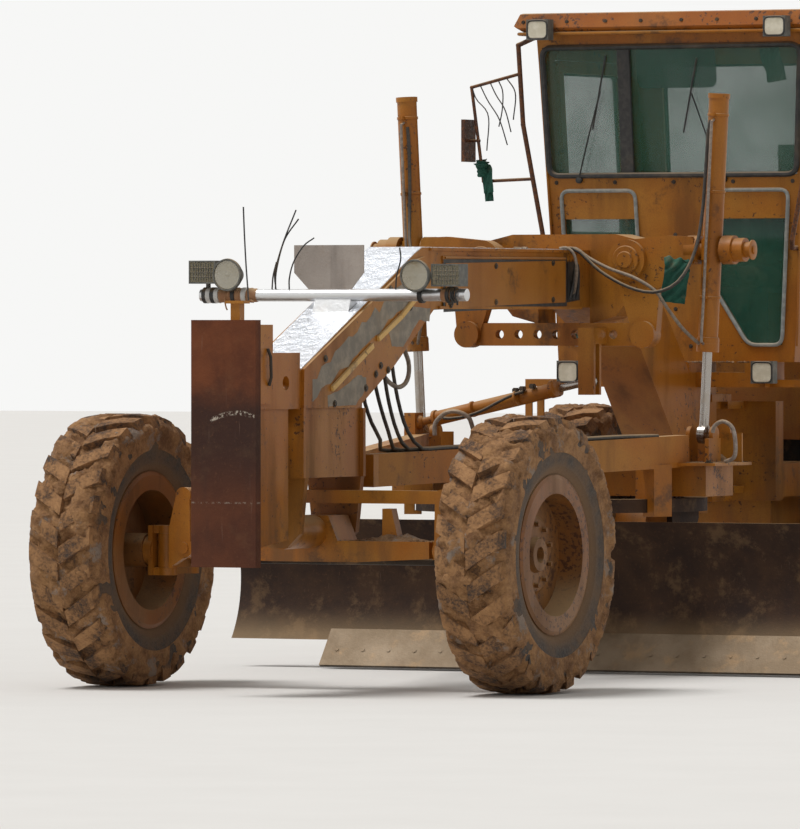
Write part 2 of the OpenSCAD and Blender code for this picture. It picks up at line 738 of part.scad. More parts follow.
module tie_rod_end() {
    color("dimgray") difference() {
        union() {
            bar_z(tie_x, steer_arm, 598 + fit, tie_z + 24, 22);
            bar_y(tie_x, steer_arm - 42, steer_arm + 42, tie_z, 12);
        }
        bar_z(tie_x, steer_arm, 598, tie_z + 30, 14 + fit);
    }
}

module tie_rod() {
    color("dimgray") difference() {
        union() {
            bar_x(tie_slack + 30 - tie_x, tie_x - 50, steer_arm, tie_z, 20);
            // fork on the left, eye on the right
            block([tie_x - 62, steer_arm - 40, tie_z - 19], [tie_x - 44, steer_arm + 40, tie_z + 19]);
            for (y = [steer_arm - 40, steer_arm + 25]) {
                block([tie_x - 45, y, tie_z - 16], [tie_x, y + 15, tie_z + 16]);
                bar_y(tie_x, y, y + 15, tie_z, 19);
            }
            bar_z(tie_slack - tie_x, steer_arm, tie_z - 12, tie_z + 12, 38);
        }
        bar_y(tie_x, steer_arm - 60, steer_arm + 60, tie_z, 12 + fit);
        bar_z(tie_slack - tie_x, steer_arm, tie_z - 40, tie_z + 40, 18 + tie_slack + fit);
    }
}

// Wheels

rim_seat = rim_bore / 2 + 16;

lug_count = 26;          // on each half of a tyre
lug_t = 88;
lug_skew = 32;

// half section of a tyre's carcass: [distance from its middle, radius]
function tyre_half(w, r) = [[0, rim_seat + fit], [rim_w / 2, rim_seat + fit],
    [rim_w / 2, rim_flange_d / 2 + 4], [0.47 * w, 440], [0.5 * w, 505], [0.485 * w, 570],
    [0.45 * w, r - lug_h - 30], [0.34 * w, r - lug_h - 4], [0, r - lug_h]];

// half section that the lugs fill, outside the carcass
function lug_half(w, r) = [[4, r - 110], [0.47 * w, r - 108], [0.49 * w, r - 70], [0.45 * w, r - 12],
    [0.25 * w, r], [4, r]];

module tyre(x, y) {
    r = tyre_d / 2;
    section = tyre_half(tyre_w, r);
    color("dimgray") translate([x, y, wheel_z]) rotate([0, 90, 0]) union() {
        rotate_extrude($fn = 96) polygon(concat([for (p = section) [p[1], p[0]]],
            [for (i = [len(section) - 2 : -1 : 1]) [section[i][1], -section[i][0]]]));
        for (half = [1, -1]) intersection() {
            rotate_extrude($fn = 96) polygon([for (p = lug_half(tyre_w, r)) [p[1], half * p[0]]]);
            for (i = [0 : lug_count - 1]) rotate([0, 0, (i + half / 4) * 360 / lug_count])
                translate([r - 55, 0, half * tyre_w / 4]) rotate([half * lug_skew, 0, 0])
                    cube([140, lug_t * cos(lug_skew), tyre_w], center = true);
        }
    }
}

// rim with its disc and hub; outward is +x before it is turned to its side
module rim(side, y) {
    edge = rim_w / 2;
    bore = rim_bore / 2;
    flange = rim_flange_d / 2;
    color("darkgoldenrod") on_side(side) translate([wheel_x, y, wheel_z]) rotate([0, 90, 0]) {
        rotate_extrude($fn = 96) polygon([
            [bore, -edge - 16], [flange - 20, -edge - 16], [flange, -edge - 8], [flange, -edge - fit],
            [rim_seat, -edge - fit], [rim_seat, edge + fit], [flange, edge + fit], [flange, edge + 8],
            [flange - 20, edge + 16], [bore, edge + 16], [bore - 4, 40], [200, 40], [180, 52],
            [90, 52], [80, 80], [spindle_r + fit, 80], [spindle_r + fit, -edge], [85, -edge],
            [85, 10], [180, 20], [bore - 4, 16]]);
        for (a = [0 : 36 : 324]) rotate([0, 0, a]) translate([150, 0, 50]) cylinder(h = 24, r = 12);
    }
}

// Rear frame

module rear_frame() {
    color(paint) difference() {
        union() {
            // tongues of the hitch
            for (z = [900 + fit, 1360 - fit]) {
                block([-150, hitch_y, z], [150, 4800, z + 40]);
                bar_z(0, hitch_y, z, z + 40, 105);
            }
            bar_z(0, hitch_y, 850, 990, 45);
            bar_z(0, hitch_y, 1330, 1450, 45);
            block([-rail_x, 4760, 860], [rail_x, 4860, 1400]);
            // rails and cross members
            both_sides() block([rail_x - 60, 4840, 880], [rail_x, tail - 140, 1060]);
            for (y = [hood_front - 90, wheelbase + 800]) block([-rail_x, y, 900], [rail_x, y + 90, 1040]);
            // gearbox, axle housing and its trunnions
            block([-220, 4960, 640], [220, wheelbase - 299, 1060]);
            block([-260, wheelbase - 300, 520], [260, wheelbase + 280, 1060]);
            bar_x(-600, 600, wheelbase, wheel_z, 150);
            bar_x(-790, 790, wheelbase, wheel_z, 80);
            // hood sills, rear bumper and tow plate
            both_sides() block([rail_x - 60, hood_front - 10, 1060], [hood_x, tail - 240, hood_z]);
            for (z = [820, 930]) {
                block([-50, tail - tow_set - 20, z], [50, tail - 50, z + 30]);
                bar_z(0, tail - 50, z, z + 30, 50);
            }
            front_view(tail - 250, tail - tow_set) polygon([
                [-700, 760], [-640, 700], [640, 700], [700, 760], [700, 1120], [660, 1160],
                [-660, 1160], [-700, 1120]]);
        }
        bar_z(0, tail - 50, 810, 970, 22);
    }
}

function hood_section(inset) = [[-hood_x + inset, hood_z - 1], [hood_x - inset, hood_z - 1],
    [hood_x - inset, hood_top - 160], [hood_x - 130, hood_top - inset], [130 - hood_x, hood_top - inset],
    [-hood_x + inset, hood_top - 160]];

hood_back = wheelbase + tail_reach - 250;
hood_fall = 90;          // drop of the hood's top towards the back
louvres = 9;

module hood() {
    t = 30;
    color(paint) difference() {
        intersection() {
            front_view(hood_front, hood_back) polygon(hood_section(0));
            side_view(-600, 600) polygon([
                [hood_front, hood_z], [hood_front, hood_top - 40], [hood_front + 40, hood_top],
                [hood_back - 40, hood_top - hood_fall], [hood_back, hood_top - 140], [hood_back, hood_z]]);
        }
        intersection() {
            front_view(hood_front + t, hood_back + 1) polygon(hood_section(t));
            side_view(-600, 600) polygon([
                [hood_front + t, hood_z - 1], [hood_front + t, hood_top - t - 10],
                [hood_back + 1, hood_top - 150], [hood_back + 1, hood_z - 1]]);
        }
        // louvres in the side doors
        for (y = [hood_front + 260, hood_back - 720], i = [0 : louvres - 1])
            block([-hood_x - 1, y, hood_z + 150 + i * 52], [hood_x + 1, y + 460, hood_z + 174 + i * 52]);
    }
}

module engine_block() {
    color("dimgray") block([-280, hood_front + 180, 1060], [280, wheelbase + 700, hood_top - 240]);
}

module rear_lamps() {
    z = hood_top - 240;
    color("dimgray") both_sides() difference() {
        union() {
            bar_y(hood_x - 130, hood_back + fit, hood_back + 66, z, 62);
            block([hood_x - 200, hood_back + fit, z - 70], [hood_x - 60, hood_back + 12, z + 70]);
        }
        bar_y(hood_x - 130, hood_back + 56, hood_back + 67, z, 54);
    }
}

module radiator_grille() {
    t = 30;
    w = hood_x - t - fit;
    low = hood_z;
    high = hood_top - 330;
    color("dimgray") {
        difference() {
            block([-w, hood_back - 60, low], [w, hood_back, high]);
            block([40 - w, hood_back - 61, low + 40], [w - 40, hood_back + 1, high - 40]);
        }
        for (i = [1 : 8]) block([20 - w, hood_back - 50, low + i * (high - low) / 9 - 10],
                                [w - 20, hood_back - 10, low + i * (high - low) / 9 + 10]);
    }
}

module exhaust() {
    y = hood_front + 420;
    color("saddlebrown") difference() {
        union() {
            bar_z(-180, y, hood_top - 60, hood_top + 420, 85);
            bar_z(-180, y, hood_top + 400, hood_top + 760, 48);
            bar_z(200, y, hood_top - 60, hood_top + 280, 60);
            bar_z(200, y, hood_top + 260, hood_top + 340, 110);
        }
        // seats on the sloping hood
        side_view(-400, 400) polygon([
            [hood_front + 40, hood_top + fit], [hood_back - 40, hood_top - hood_fall + fit],
            [hood_back - 40, hood_top - 200], [hood_front + 40, hood_top - 200]]);
    }
}

module tandem(side) {
    x0 = 662;
    x1 = 850;
    r = 205;
    color(paint) on_side(side) difference() {
        union() {
            side_view(x0, x1) union() {
                translate([front_tandem_y, wheel_z]) circle(r = r);
                translate([rear_tandem_y, wheel_z]) circle(r = r);
                polygon([[front_tandem_y, wheel_z - r], [rear_tandem_y, wheel_z - r],
                    [rear_tandem_y, wheel_z + r], [wheelbase + 300, wheel_z + 270],
                    [wheelbase - 300, wheel_z + 270], [front_tandem_y, wheel_z + r]]);
            }
            bar_x(610, x0 + 1, wheelbase, wheel_z, 185);
            for (y = [front_tandem_y, rear_tandem_y]) {
                bar_x(x1 - 1, wheel_x - 152, y, wheel_z, 90);
                bar_x(x1 - 1, wheel_x + 30, y, wheel_z, spindle_r);
            }
        }
        bar_x(600, 800, wheelbase, wheel_z, 80 + fit);
    }
}

// Blade gear

// clamp over the circle's rim, drawn at angle 0 and held from above at height top
module circle_guide(top) {
    r = circle_d / 2;
    low = circle_top - circle_h;
    block([r - 90, -60, circle_top + fit], [r + 60, 60, top]);
    block([r + play, -60, low - 20], [r + 60, 60, top]);
    block([r - 30, -60, low - 20], [r + play + 1, 60, low - 2 * fit]);
}

socket_xs = [eye_x - 84, eye_x + 48];   // cheeks beside a lift rod's eye

module drawbar() {
    leg_w = 90;
    leg_h = 165;
    color(paint) difference() {
        union() {
            translate([0, ball_y, ball_z]) sphere(r = ball_r);
            bar_y(0, ball_y + ball_r / 2, ball_y + 110, ball_z, 42);
            block([-110, ball_y + 90, ball_z - 80], [110, ball_y + 230, ball_z + 80]);
            // legs of the A frame
            both_sides() box_beam([55, ball_y + 120, ball_z], [760, cross_front + 40, 1160], leg_w, leg_h);
            // cross box over the circle, with its top plate
            block([-cross_x, cross_front, cross_bottom], [cross_x, cross_back, cross_top]);
            block([-990, cross_front - 60, cross_top - 1], [990, cross_back + 60, cross_top + 14]);
            // rear arms over the circle
            both_sides() block([420, cross_back - 1, 960], [540, lift_y + 640, cross_top]);
            block([-540, lift_y + 560, 960], [540, lift_y + 680, cross_top]);
            // guides that the circle turns in: [angle, height of what holds them]
            for (g = [[-25, 1090], [205, 1090], [51, 970], [129, 970]]) translate([0, circle_y, 0])
                rotate([0, 0, g[0]]) circle_guide(g[1]);
            // sockets of the lift rods: two cheeks and a shield behind
            both_sides() {
                for (x = socket_xs) {
                    block([x, lift_y - 90, cross_top + 13], [x + 22, lift_y + 60, eye_z - 20]);
                    bar_x(x, x + 22, lift_y, eye_z, 42);
                }
                front_view(lift_y + 150, lift_y + 162) union() {
                    polygon([[eye_x - 110, cross_top + 10], [eye_x + 150, cross_top + 10],
                        [eye_x + 150, 1250], [eye_x - 110, 1250]]);
                    translate([eye_x + 20, 1250]) circle(r = 65);
                }
            }
            // circle drive housing
            bar_z(0, lift_y - 480, 960, 1330, 130);
            block([-180, lift_y - 620, 960], [180, cross_front + 10, 1040]);
            bar_z(0, circle_y - circle_in + 66, circle_top - circle_h + 10, 965, 56);
            // post with the cup of the shift cylinder's ball
            block(shift_foot - [62, 50, 203], shift_foot + [2, 50, 52]);
        }
        translate(shift_foot) sphere(r = shift_ball + fit);
        translate(shift_foot) rotate([0, 90, 0]) cylinder(h = 60, r = shift_ball + fit);
    }
}

circle_in = circle_d / 2 - 120;   // radius inside the circle's teeth
circle_teeth = 64;
tooth_h = 22;

// rows across one tooth space: [share of the pitch, share of the tooth's height]
tooth_rows = [[0, 0], [0.24, 0], [0.36, 1], [0.64, 1], [0.76, 0]];

module circle_ring() {
    outer = circle_d / 2;
    color("sienna") difference() {
        union() {
            translate([0, circle_y, circle_top - circle_h]) difference() {
                cylinder(h = circle_h, r = outer, $fn = 120);
                translate([0, 0, -1]) linear_extrude(circle_h + 2) polygon([
                    for (i = [0 : circle_teeth - 1]) for (t = tooth_rows)
                        let (turn = (i + t[0]) * 360 / circle_teeth)
                            (circle_in + tooth_h * t[1]) * [cos(turn), sin(turn)]]);
            }
            // arms that reach down behind the moldboard
            both_sides() {
                side_view(arm_x + 35, arm_x + 65) polygon([
                    [tip_y - 35, circle_top - circle_h + 1], [tip_y - 35, 340], [tip_y - 48, tip_z],
                    [tip_y, tip_z - 48], [tip_y + 48, tip_z], [tip_y + 130, 520],
                    [circle_y + 365, circle_top - circle_h - 40],
                    [circle_y + 365, circle_top - circle_h + 1]]);
                bar_x(arm_x + 30 + play / 6, arm_x + 70, tip_y, tip_z, 48);
            }
            bar_x(-arm_x - 40, arm_x + 40, tip_y + 100, 600, 38);
        }
        both_sides() bar_x(arm_x, arm_x + 90, tip_y, tip_z, pin_r + fit);
    }
}

rail_zs = [270, 640];

module blade_carrier() {
    x0 = arm_x - 28;
    x1 = arm_x + 28;
    color(paint) {
        both_sides() {
            difference() {
                union() {
                    for (z = rail_zs) block([x0, rail_y - 17, z - 52], [x1, rail_y + 45, z + 52]);
                    side_view(x0, x1) polygon([
                        [rail_y + 44, 218], [tip_y, tip_z - 44], [tip_y + 40, tip_z], [tip_y - 40, 420],
                        [tip_y - 50, 692], [rail_y + 44, 692], [rail_y + 44, 588], [rail_y + 72, 560],
                        [rail_y + 72, 350], [rail_y + 44, 322]]);
                    bar_x(x0, x1, tip_y, tip_z, 44);
                }
                for (z = rail_zs) {
                    block([x0 - 1, rail_y - fit, z - 32 - fit], [x1 + 1, rail_y + 22 + fit, z + 32 + fit]);
                    block([x0 - 1, rail_y - 30, z - 15 - fit], [x1 + 1, rail_y + 1, z + 15 + fit]);
                }
            }
            bar_x(x1 - 1, arm_x + 78, tip_y, tip_z, pin_r);
        }
        // barrel of the side shift cylinder, held between the carriers
        difference() {
            bar_x(-520, 520, shift_y, shift_z, 40);
            bar_x(-500, 521, shift_y, shift_z, 22 + fit);
        }
        for (x = [-360, 330]) block([x, shift_y + 30, shift_z - 30], [x + 30, tip_y - 50, shift_z + 30]);
        block([-x0 - 1, tip_y - 70, shift_z - 30], [x0 + 1, tip_y - 50, shift_z + 30]);
    }
}

blade_mid = blade_z + blade_h / 2;
blade_cy = blade_edge_y - sqrt(pow(blade_r, 2) - pow(blade_h / 2, 2));
edge_tilt = asin(blade_h / 2 / blade_r);

// side outline of the curved plate; grow widens it at the front
module blade_section(grow) {
    translate([blade_cy, blade_mid]) intersection() {
        difference() {
            circle(r = blade_r + blade_t, $fn = 160);
            circle(r = blade_r - grow, $fn = 160);
        }
        translate([0, -blade_h / 2]) square([blade_r * 2, blade_h]);
    }
}

module moldboard() {
    half = blade_l / 2;
    color("sienna") {
        side_view(-half, half) blade_section(0);
        // slide rails on its back
        difference() {
            for (z = rail_zs) {
                block([-1050, blade_cy + blade_r - 20, z - 15], [1050, rail_y + 1, z + 15]);
                block([-1050, rail_y, z - 32], [1050, rail_y + 22, z + 32]);
            }
            side_view(-1051, 1051) translate([blade_cy, blade_mid]) circle(r = blade_r + 2, $fn = 160);
        }
        // bracket and rod of the side shift cylinder
        block([1000, blade_cy + blade_r + 12, shift_z - 45], [1030, shift_y + 30, shift_z + 45]);
        bar_x(-20, 1001, shift_y, shift_z, 22);
    }
}

module cutting_edge() {
    half = blade_l / 2;
    t = 16;
    drop = (blade_z - edge_clear) / cos(edge_tilt);
    color("gray") side_view(edge_gap - half, half) difference() {
        translate([blade_edge_y, blade_z]) rotate(-edge_tilt)
            translate([-t, -drop]) square([t, drop + 62]);
        translate([0, -1]) blade_section(fit);
        blade_section(fit);
    }
}

// Cylinders

module lift_barrel(side) {
    bore = rod_d / 2 + fit;
    length = barrel_top_z - barrel_end_z;
    color(paint) on_side(side) translate([trunnion_x, lift_y, trunnion_z]) {
        rotate([0, barrel_lean, 0]) translate([0, 0, barrel_end_z - trunnion_z]) difference() {
            union() {
                cylinder(h = length, r = barrel_d / 2);
                cylinder(h = 70, r = barrel_d / 2 + 7);
                translate([0, 0, length - 26]) cylinder(h = 26, r = barrel_d / 2 + 5);
                translate([0, 0, trunnion_z - barrel_end_z - 55]) cylinder(h = 110, r = barrel_d / 2 + 6);
            }
            translate([0, 0, -1]) cylinder(h = length - 40, r = bore);
        }
        difference() {
            translate([-118, 0, 0]) rotate([0, 90, 0]) cylinder(h = 236, r = 35);
            translate([-40, 0, 0]) rotate([0, 90, 0]) cylinder(h = 80, r = 36);
        }
    }
}

module lift_rod(side) {
    color("silver") on_side(side) translate([eye_x, lift_y, eye_z]) rotate([0, barrel_lean, 0]) {
        cylinder(h = 1250, r = rod_d / 2);
        rotate([0, 90, 0]) translate([0, 0, -20]) cylinder(h = 40, r = 50);
    }
}

shift_foot = [-745, 2586, 1300];
shift_head = [250, 2586, 1520];
shift_rise = atan((shift_head[2] - shift_foot[2]) / (shift_head[0] - shift_foot[0]));
shift_len = norm(shift_head - shift_foot);
shift_ball = 38;
shift_end = 845;        // far end of the shift cylinder's barrel

module shift_barrel() {
    color(paint) translate(shift_foot) rotate([0, 90 - shift_rise, 0]) difference() {
        union() {
            sphere(r = shift_ball);
            cylinder(h = 100, r = 20);
            translate([0, 0, 90]) cylinder(h = shift_end - 90, r = 38);
            translate([0, 0, shift_end - 50]) cylinder(h = 40, r = 41);
        }
        translate([0, 0, 120]) cylinder(h = shift_end, r = 19 + fit);
    }
}

module shift_rod() {
    color("silver") translate(shift_head) rotate([0, 90 - shift_rise, 0]) difference() {
        union() {
            translate([0, 0, -shift_len + 320]) cylinder(h = shift_len - 320, r = 19);
            rotate([90, 0, 0]) translate([0, 0, -16]) cylinder(h = 32, r = 38);
        }
        rotate([90, 0, 0]) translate([0, 0, -23]) cylinder(h = 46, r = 18);
    }
}

// Everything in its place

module at_axle() { translate([0, axle_y, 0]) children(); }

at_axle() push_block();
at_axle() push_bracket();
at_axle() main_frame();
at_axle() slope_plate();
at_axle() lamp_bar();
at_axle() marker_plate();
at_axle() lamps();
at_axle() lamp_lenses();
at_axle() lift_arms();
at_axle() cab_shell();
at_axle() cab_roof();
at_axle() cab_glass();
at_axle() console();
at_axle() seat();
at_axle() seat_cushions();
at_axle() mirror_frames();
at_axle() cab_steps();
at_axle() door(1);  // door_left
at_axle() door(-1);  // door_right
at_axle() door_glass(1);  // door_glass_left
at_axle() door_glass(-1);  // door_glass_right
at_axle() axle_beam();
at_axle() lean_bracket(1);  // lean_bracket_left
at_axle() lean_bracket(-1);  // lean_bracket_right
at_axle() lean_bar();
at_axle() knuckle(1);  // knuckle_left
at_axle() knuckle(-1);  // knuckle_right
at_axle() tie_rod_end();
at_axle() tie_rod();
at_axle() tyre(wheel_x, 0);  // tyre_front_left
at_axle() tyre(-wheel_x, 0);  // tyre_front_right
at_axle() tyre(wheel_x, front_tandem_y);  // tyre_mid_left
at_axle() tyre(-wheel_x, front_tandem_y);  // tyre_mid_right
at_axle() tyre(wheel_x, rear_tandem_y);  // tyre_rear_left
at_axle() tyre(-wheel_x, rear_tandem_y);  // tyre_rear_right
at_axle() rim(1, 0);  // rim_front_left
at_axle() rim(-1, 0);  // rim_front_right
at_axle() rim(1, front_tandem_y);  // rim_mid_left
at_axle() rim(-1, front_tandem_y);  // rim_mid_right
at_axle() rim(1, rear_tandem_y);  // rim_rear_left
at_axle() rim(-1, rear_tandem_y);  // rim_rear_right
at_axle() rear_frame();
at_axle() hood();
at_axle() engine_block();
at_axle() radiator_grille();
at_axle() rear_lamps();
at_axle() exhaust();
at_axle() tandem(1);  // tandem_left
at_axle() tandem(-1);  // tandem_right
at_axle() drawbar();
at_axle() circle_ring();
at_axle() blade_carrier();
at_axle() moldboard();
at_axle() cutting_edge();
at_axle() lift_barrel(1);  // lift_barrel_left
at_axle() lift_barrel(-1);  // lift_barrel_right
at_axle() lift_rod(1);  // lift_rod_left
at_axle() lift_rod(-1);  // lift_rod_right
at_axle() shift_barrel();
at_axle() shift_rod();
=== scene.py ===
# %% [markdown]
# A motor grader at work in dry country: faded yellow paint, tyres caked with mud, a rusty push
# block, bright sheet metal on the sloping nose and green tinted glass. The solids come from CAD
# and stay where they are. This lesson gives them their surfaces and adds what CAD left off:
# mud, bolts, hoses, wires, gaskets, louvres and rags. Everything is in metres, +Z is up, the
# machine faces -Y and its left side is +X.

# %% Load the machine
import json
import math

import bmesh
import bpy
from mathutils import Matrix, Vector, noise


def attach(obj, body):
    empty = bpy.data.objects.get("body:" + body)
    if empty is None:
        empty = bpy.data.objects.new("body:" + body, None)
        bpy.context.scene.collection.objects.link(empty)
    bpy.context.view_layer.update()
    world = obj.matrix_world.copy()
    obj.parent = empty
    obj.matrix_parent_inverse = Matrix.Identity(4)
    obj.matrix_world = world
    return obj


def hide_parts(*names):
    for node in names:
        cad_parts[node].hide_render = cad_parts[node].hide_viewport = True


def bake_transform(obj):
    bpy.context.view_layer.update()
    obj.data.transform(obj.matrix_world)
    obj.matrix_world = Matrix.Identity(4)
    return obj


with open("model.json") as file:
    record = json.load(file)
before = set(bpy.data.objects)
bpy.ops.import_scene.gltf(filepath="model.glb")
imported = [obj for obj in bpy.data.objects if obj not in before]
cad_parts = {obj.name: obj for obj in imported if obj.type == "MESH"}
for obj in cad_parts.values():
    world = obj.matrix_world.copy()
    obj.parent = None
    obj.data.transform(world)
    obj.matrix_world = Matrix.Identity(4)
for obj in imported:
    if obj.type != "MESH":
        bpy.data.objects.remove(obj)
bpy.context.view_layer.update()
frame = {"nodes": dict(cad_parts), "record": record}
AXLE_Y = -3.320
AXLES = {"front": 0, "mid": 5440, "rear": 6960}
AXLE_HEIGHT = 685
HALF_TRACK = 1125
SIDES = ((1, "left"), (-1, "right"))


def at(x, y, z):
    """A place in millimetres, y counted back from the front axle, as metres in the frame."""
    return Vector((x / 1000, y / 1000 + AXLE_Y, z / 1000))


# %% [markdown]
# The picture was taken from far off with a long lens, ahead of the machine and 26.5 degrees
# to its left. A long lens flattens depth, so the camera stands 45 m away and not closer. It
# looks down by half a degree, which puts the horizon where the picture has it.

# %% Camera
VIEW_ANGLE = math.radians(26.5)
FOCAL_PIXELS = 9045
PICTURE_HEIGHT = 829
HORIZON_ABOVE_MIDDLE = 92.5
SENSOR = 36
STANDS = (20426, -40099, 1830)
FAR_END = 400

camera_data = bpy.data.cameras.new("camera")
camera_data.sensor_width = SENSOR
camera_data.lens = SENSOR * FOCAL_PIXELS / PICTURE_HEIGHT
camera_data.clip_end = FAR_END
camera = bpy.data.objects.new("camera", camera_data)
bpy.context.scene.collection.objects.link(camera)
camera.location = at(*STANDS)
camera.rotation_euler = (math.pi / 2 - math.atan(HORIZON_ABOVE_MIDDLE / FOCAL_PIXELS), 0, VIEW_ANGLE)
bpy.context.scene.camera = camera
print("lens in mm:", round(camera_data.lens, 1))

# %% [markdown]
# Plain studio light: a pale sky all round, and one wide soft lamp high on the left, where the
# sun stood. Only camera, gloss and glass rays see the sky at full white.

# %% Light
scene = bpy.context.scene
scene.view_settings.view_transform = "Standard"
SKY = (0.93, 0.93, 0.92, 1)
SKY_LIGHT = 0.48
SUN_STRENGTH = 2.3
SUN_WIDTH = math.radians(24)
SUN_COMES_FROM = (-0.42, -0.32, 1.25)

world = bpy.data.worlds.new("sky")
scene.world = world
world.use_nodes = True
sky_tree = world.node_tree
sky_tree.nodes.clear()
paths = sky_tree.nodes.new("ShaderNodeLightPath")
seen = paths.outputs["Is Camera Ray"]
for ray in ("Is Glossy Ray", "Is Transmission Ray"):
    either = sky_tree.nodes.new("ShaderNodeMath")
    either.operation = "MAXIMUM"
    sky_tree.links.new(seen, either.inputs[0])
    sky_tree.links.new(paths.outputs[ray], either.inputs[1])
    seen = either.outputs[0]
choose = sky_tree.nodes.new("ShaderNodeMixShader")
sky_tree.links.new(seen, choose.inputs[0])
for socket, strength in ((1, SKY_LIGHT), (2, 1.0)):
    sky = sky_tree.nodes.new("ShaderNodeBackground")
    sky.inputs["Color"].default_value = SKY
    sky.inputs["Strength"].default_value = strength
    sky_tree.links.new(sky.outputs[0], choose.inputs[socket])
sky_out = sky_tree.nodes.new("ShaderNodeOutputWorld")
sky_tree.links.new(choose.outputs[0], sky_out.inputs[0])

sun_data = bpy.data.lights.new("soft_sun", "SUN")
sun_data.energy = SUN_STRENGTH
sun_data.angle = SUN_WIDTH
sun = bpy.data.objects.new("soft_sun", sun_data)
scene.collection.objects.link(sun)
sun.rotation_euler = Vector(SUN_COMES_FROM).to_track_quat("Z", "Y").to_euler()
print("sky nodes:", len(sky_tree.nodes), "sun:", SUN_STRENGTH)

# %% [markdown]
# A material is a small sum: masks of noise, a few colours mixed by them, and a bump. Wiring
# that by hand is hard to read, so two small classes let Python's own signs do it. A Wire holds
# one output socket and turns + - * and / into Math nodes. A Finish holds one material and adds
# every other kind of node through a single method.


# %% Shader sums
class Wire:
    """One output socket of a finish, with Python's signs on it."""

    def __init__(self, finish, socket):
        self.finish = finish
        self.socket = socket

    def __add__(self, other):
        return self.finish.sum("ADD", self, other)

    def __sub__(self, other):
        return self.finish.sum("SUBTRACT", self, other)

    def __mul__(self, other):
        return self.finish.sum("MULTIPLY", self, other)

    def __truediv__(self, other):
        return self.finish.sum("DIVIDE", self, other)

    def __rsub__(self, other):
        return self.finish.sum("SUBTRACT", other, self)

    __radd__ = __add__
    __rmul__ = __mul__


class Finish:
    """One material and its nodes."""

    def __init__(self, name):
        self.material = bpy.data.materials.new(name)
        self.material.use_nodes = True
        self.tree = self.material.node_tree
        self.shader = self.tree.nodes["Principled BSDF"]
        self.place = self.node("ShaderNodeTexCoord", out="Object")
        self.facing = Wire(self, self.place.socket.node.outputs["Normal"])

    def node(self, kind, settings=None, values=None, out=0):
        """A node of that kind: its settings first, then its sockets' values or wires."""
        made = self.tree.nodes.new(kind)
        for name, setting in (settings or {}).items():
            if name == "stops":
                ramp = made.color_ramp.elements
                while len(ramp) < len(setting):
                    ramp.new(1)
                for stop, (where, colour) in zip(ramp, setting):
                    stop.position = where
                    stop.color = (*colour, 1)
            else:
                setattr(made, name, setting)
        for name, value in (values or {}).items():
            if isinstance(value, Wire):
                self.tree.links.new(value.socket, made.inputs[name])
            else:
                made.inputs[name].default_value = value
        return Wire(self, made.outputs[out])

    def sum(self, operation, a, b=0.0):
        return self.node("ShaderNodeMath", {"operation": operation}, {0: a, 1: b})

    def mix(self, share, a, b):
        """Colour a where share is 0, b where it is 1."""
        def full(colour):
            return colour if isinstance(colour, Wire) else (*colour, 1)
        return self.node("ShaderNodeMix", {"data_type": "RGBA"}, {0: share, 6: full(a), 7: full(b)}, out=2)

    def noise(self, scale, detail=5.0, roughness=0.6, stretch=(1, 1, 1), move=(0, 0, 0)):
        """Soft noise from 0 to 1; scale is its lumps to the metre."""
        where = self.node("ShaderNodeMapping", None,
                          {"Vector": self.place, "Scale": stretch, "Location": move})
        return self.node("ShaderNodeTexNoise", None,
                         {"Vector": where, "Scale": scale, "Detail": detail, "Roughness": roughness})

    def cells(self, scale):
        """Distance to the middle of random cells."""
        return self.node("ShaderNodeTexVoronoi", None, {"Vector": self.place, "Scale": scale})

    def from_axle(self, y):
        """Distance in metres to the axle of the wheels at y."""
        axle = at(0, y, AXLE_HEIGHT)
        offset = self.node("ShaderNodeVectorMath", {"operation": "SUBTRACT"}, {0: self.place, 1: axle})
        flat = self.node("ShaderNodeVectorMath", {"operation": "MULTIPLY"}, {0: offset, 1: (0, 1, 1)})
        return self.node("ShaderNodeVectorMath", {"operation": "LENGTH"}, {0: flat}, out="Value")

    def ramp(self, value, low, high, to_low=0.0, to_high=1.0):
        """value between low and high as a smooth step."""
        return self.node("ShaderNodeMapRange", {"interpolation_type": "SMOOTHSTEP"},
                         {"Value": value, "From Min": low, "From Max": high,
                          "To Min": to_low, "To Max": to_high})

    def axis(self, vector, letter):
        return self.node("ShaderNodeSeparateXYZ", None, {0: vector}, out=letter)

    def height(self):
        """Height over the ground in metres."""
        return self.axis(self.place, "Z")

    def upward(self):
        """1 on faces that look up, 0 on walls."""
        return self.ramp(self.axis(self.facing, "Z"), 0.25, 0.9)

    def bump(self, height, depth, strength=1.0, after=None):
        values = {"Height": height, "Distance": depth, "Strength": strength}
        if after is not None:
            values["Normal"] = after
        return self.node("ShaderNodeBump", None, values)

    def set(self, **sockets):
        """Values or wires for the shader's sockets; a name's words are joined by _."""
        for name, value in sockets.items():
            socket = self.shader.inputs[name.replace("_", " ")]
            if isinstance(value, Wire):
                self.tree.links.new(value.socket, socket)
            elif isinstance(value, tuple):
                socket.default_value = (*value, 1)
            else:
                socket.default_value = value
        return self.material


FINISHES = {}
print("signs a wire knows:", "+ - * /")

# %% [markdown]
# The faded yellow paint carries most of the machine. On the real one it has layers that change
# at different sizes: broad patches where the sun bleached it, brown grime that runs down the
# walls and gathers low, oily stains, and small chips where rust shows. Pale dust lies on
# whatever faces up. Each layer is one noise turned into a mask, so the order reads like a list.

# %% Yellow paint
DUST = (0.47, 0.32, 0.17)
GRIME = (0.078, 0.027, 0.007)


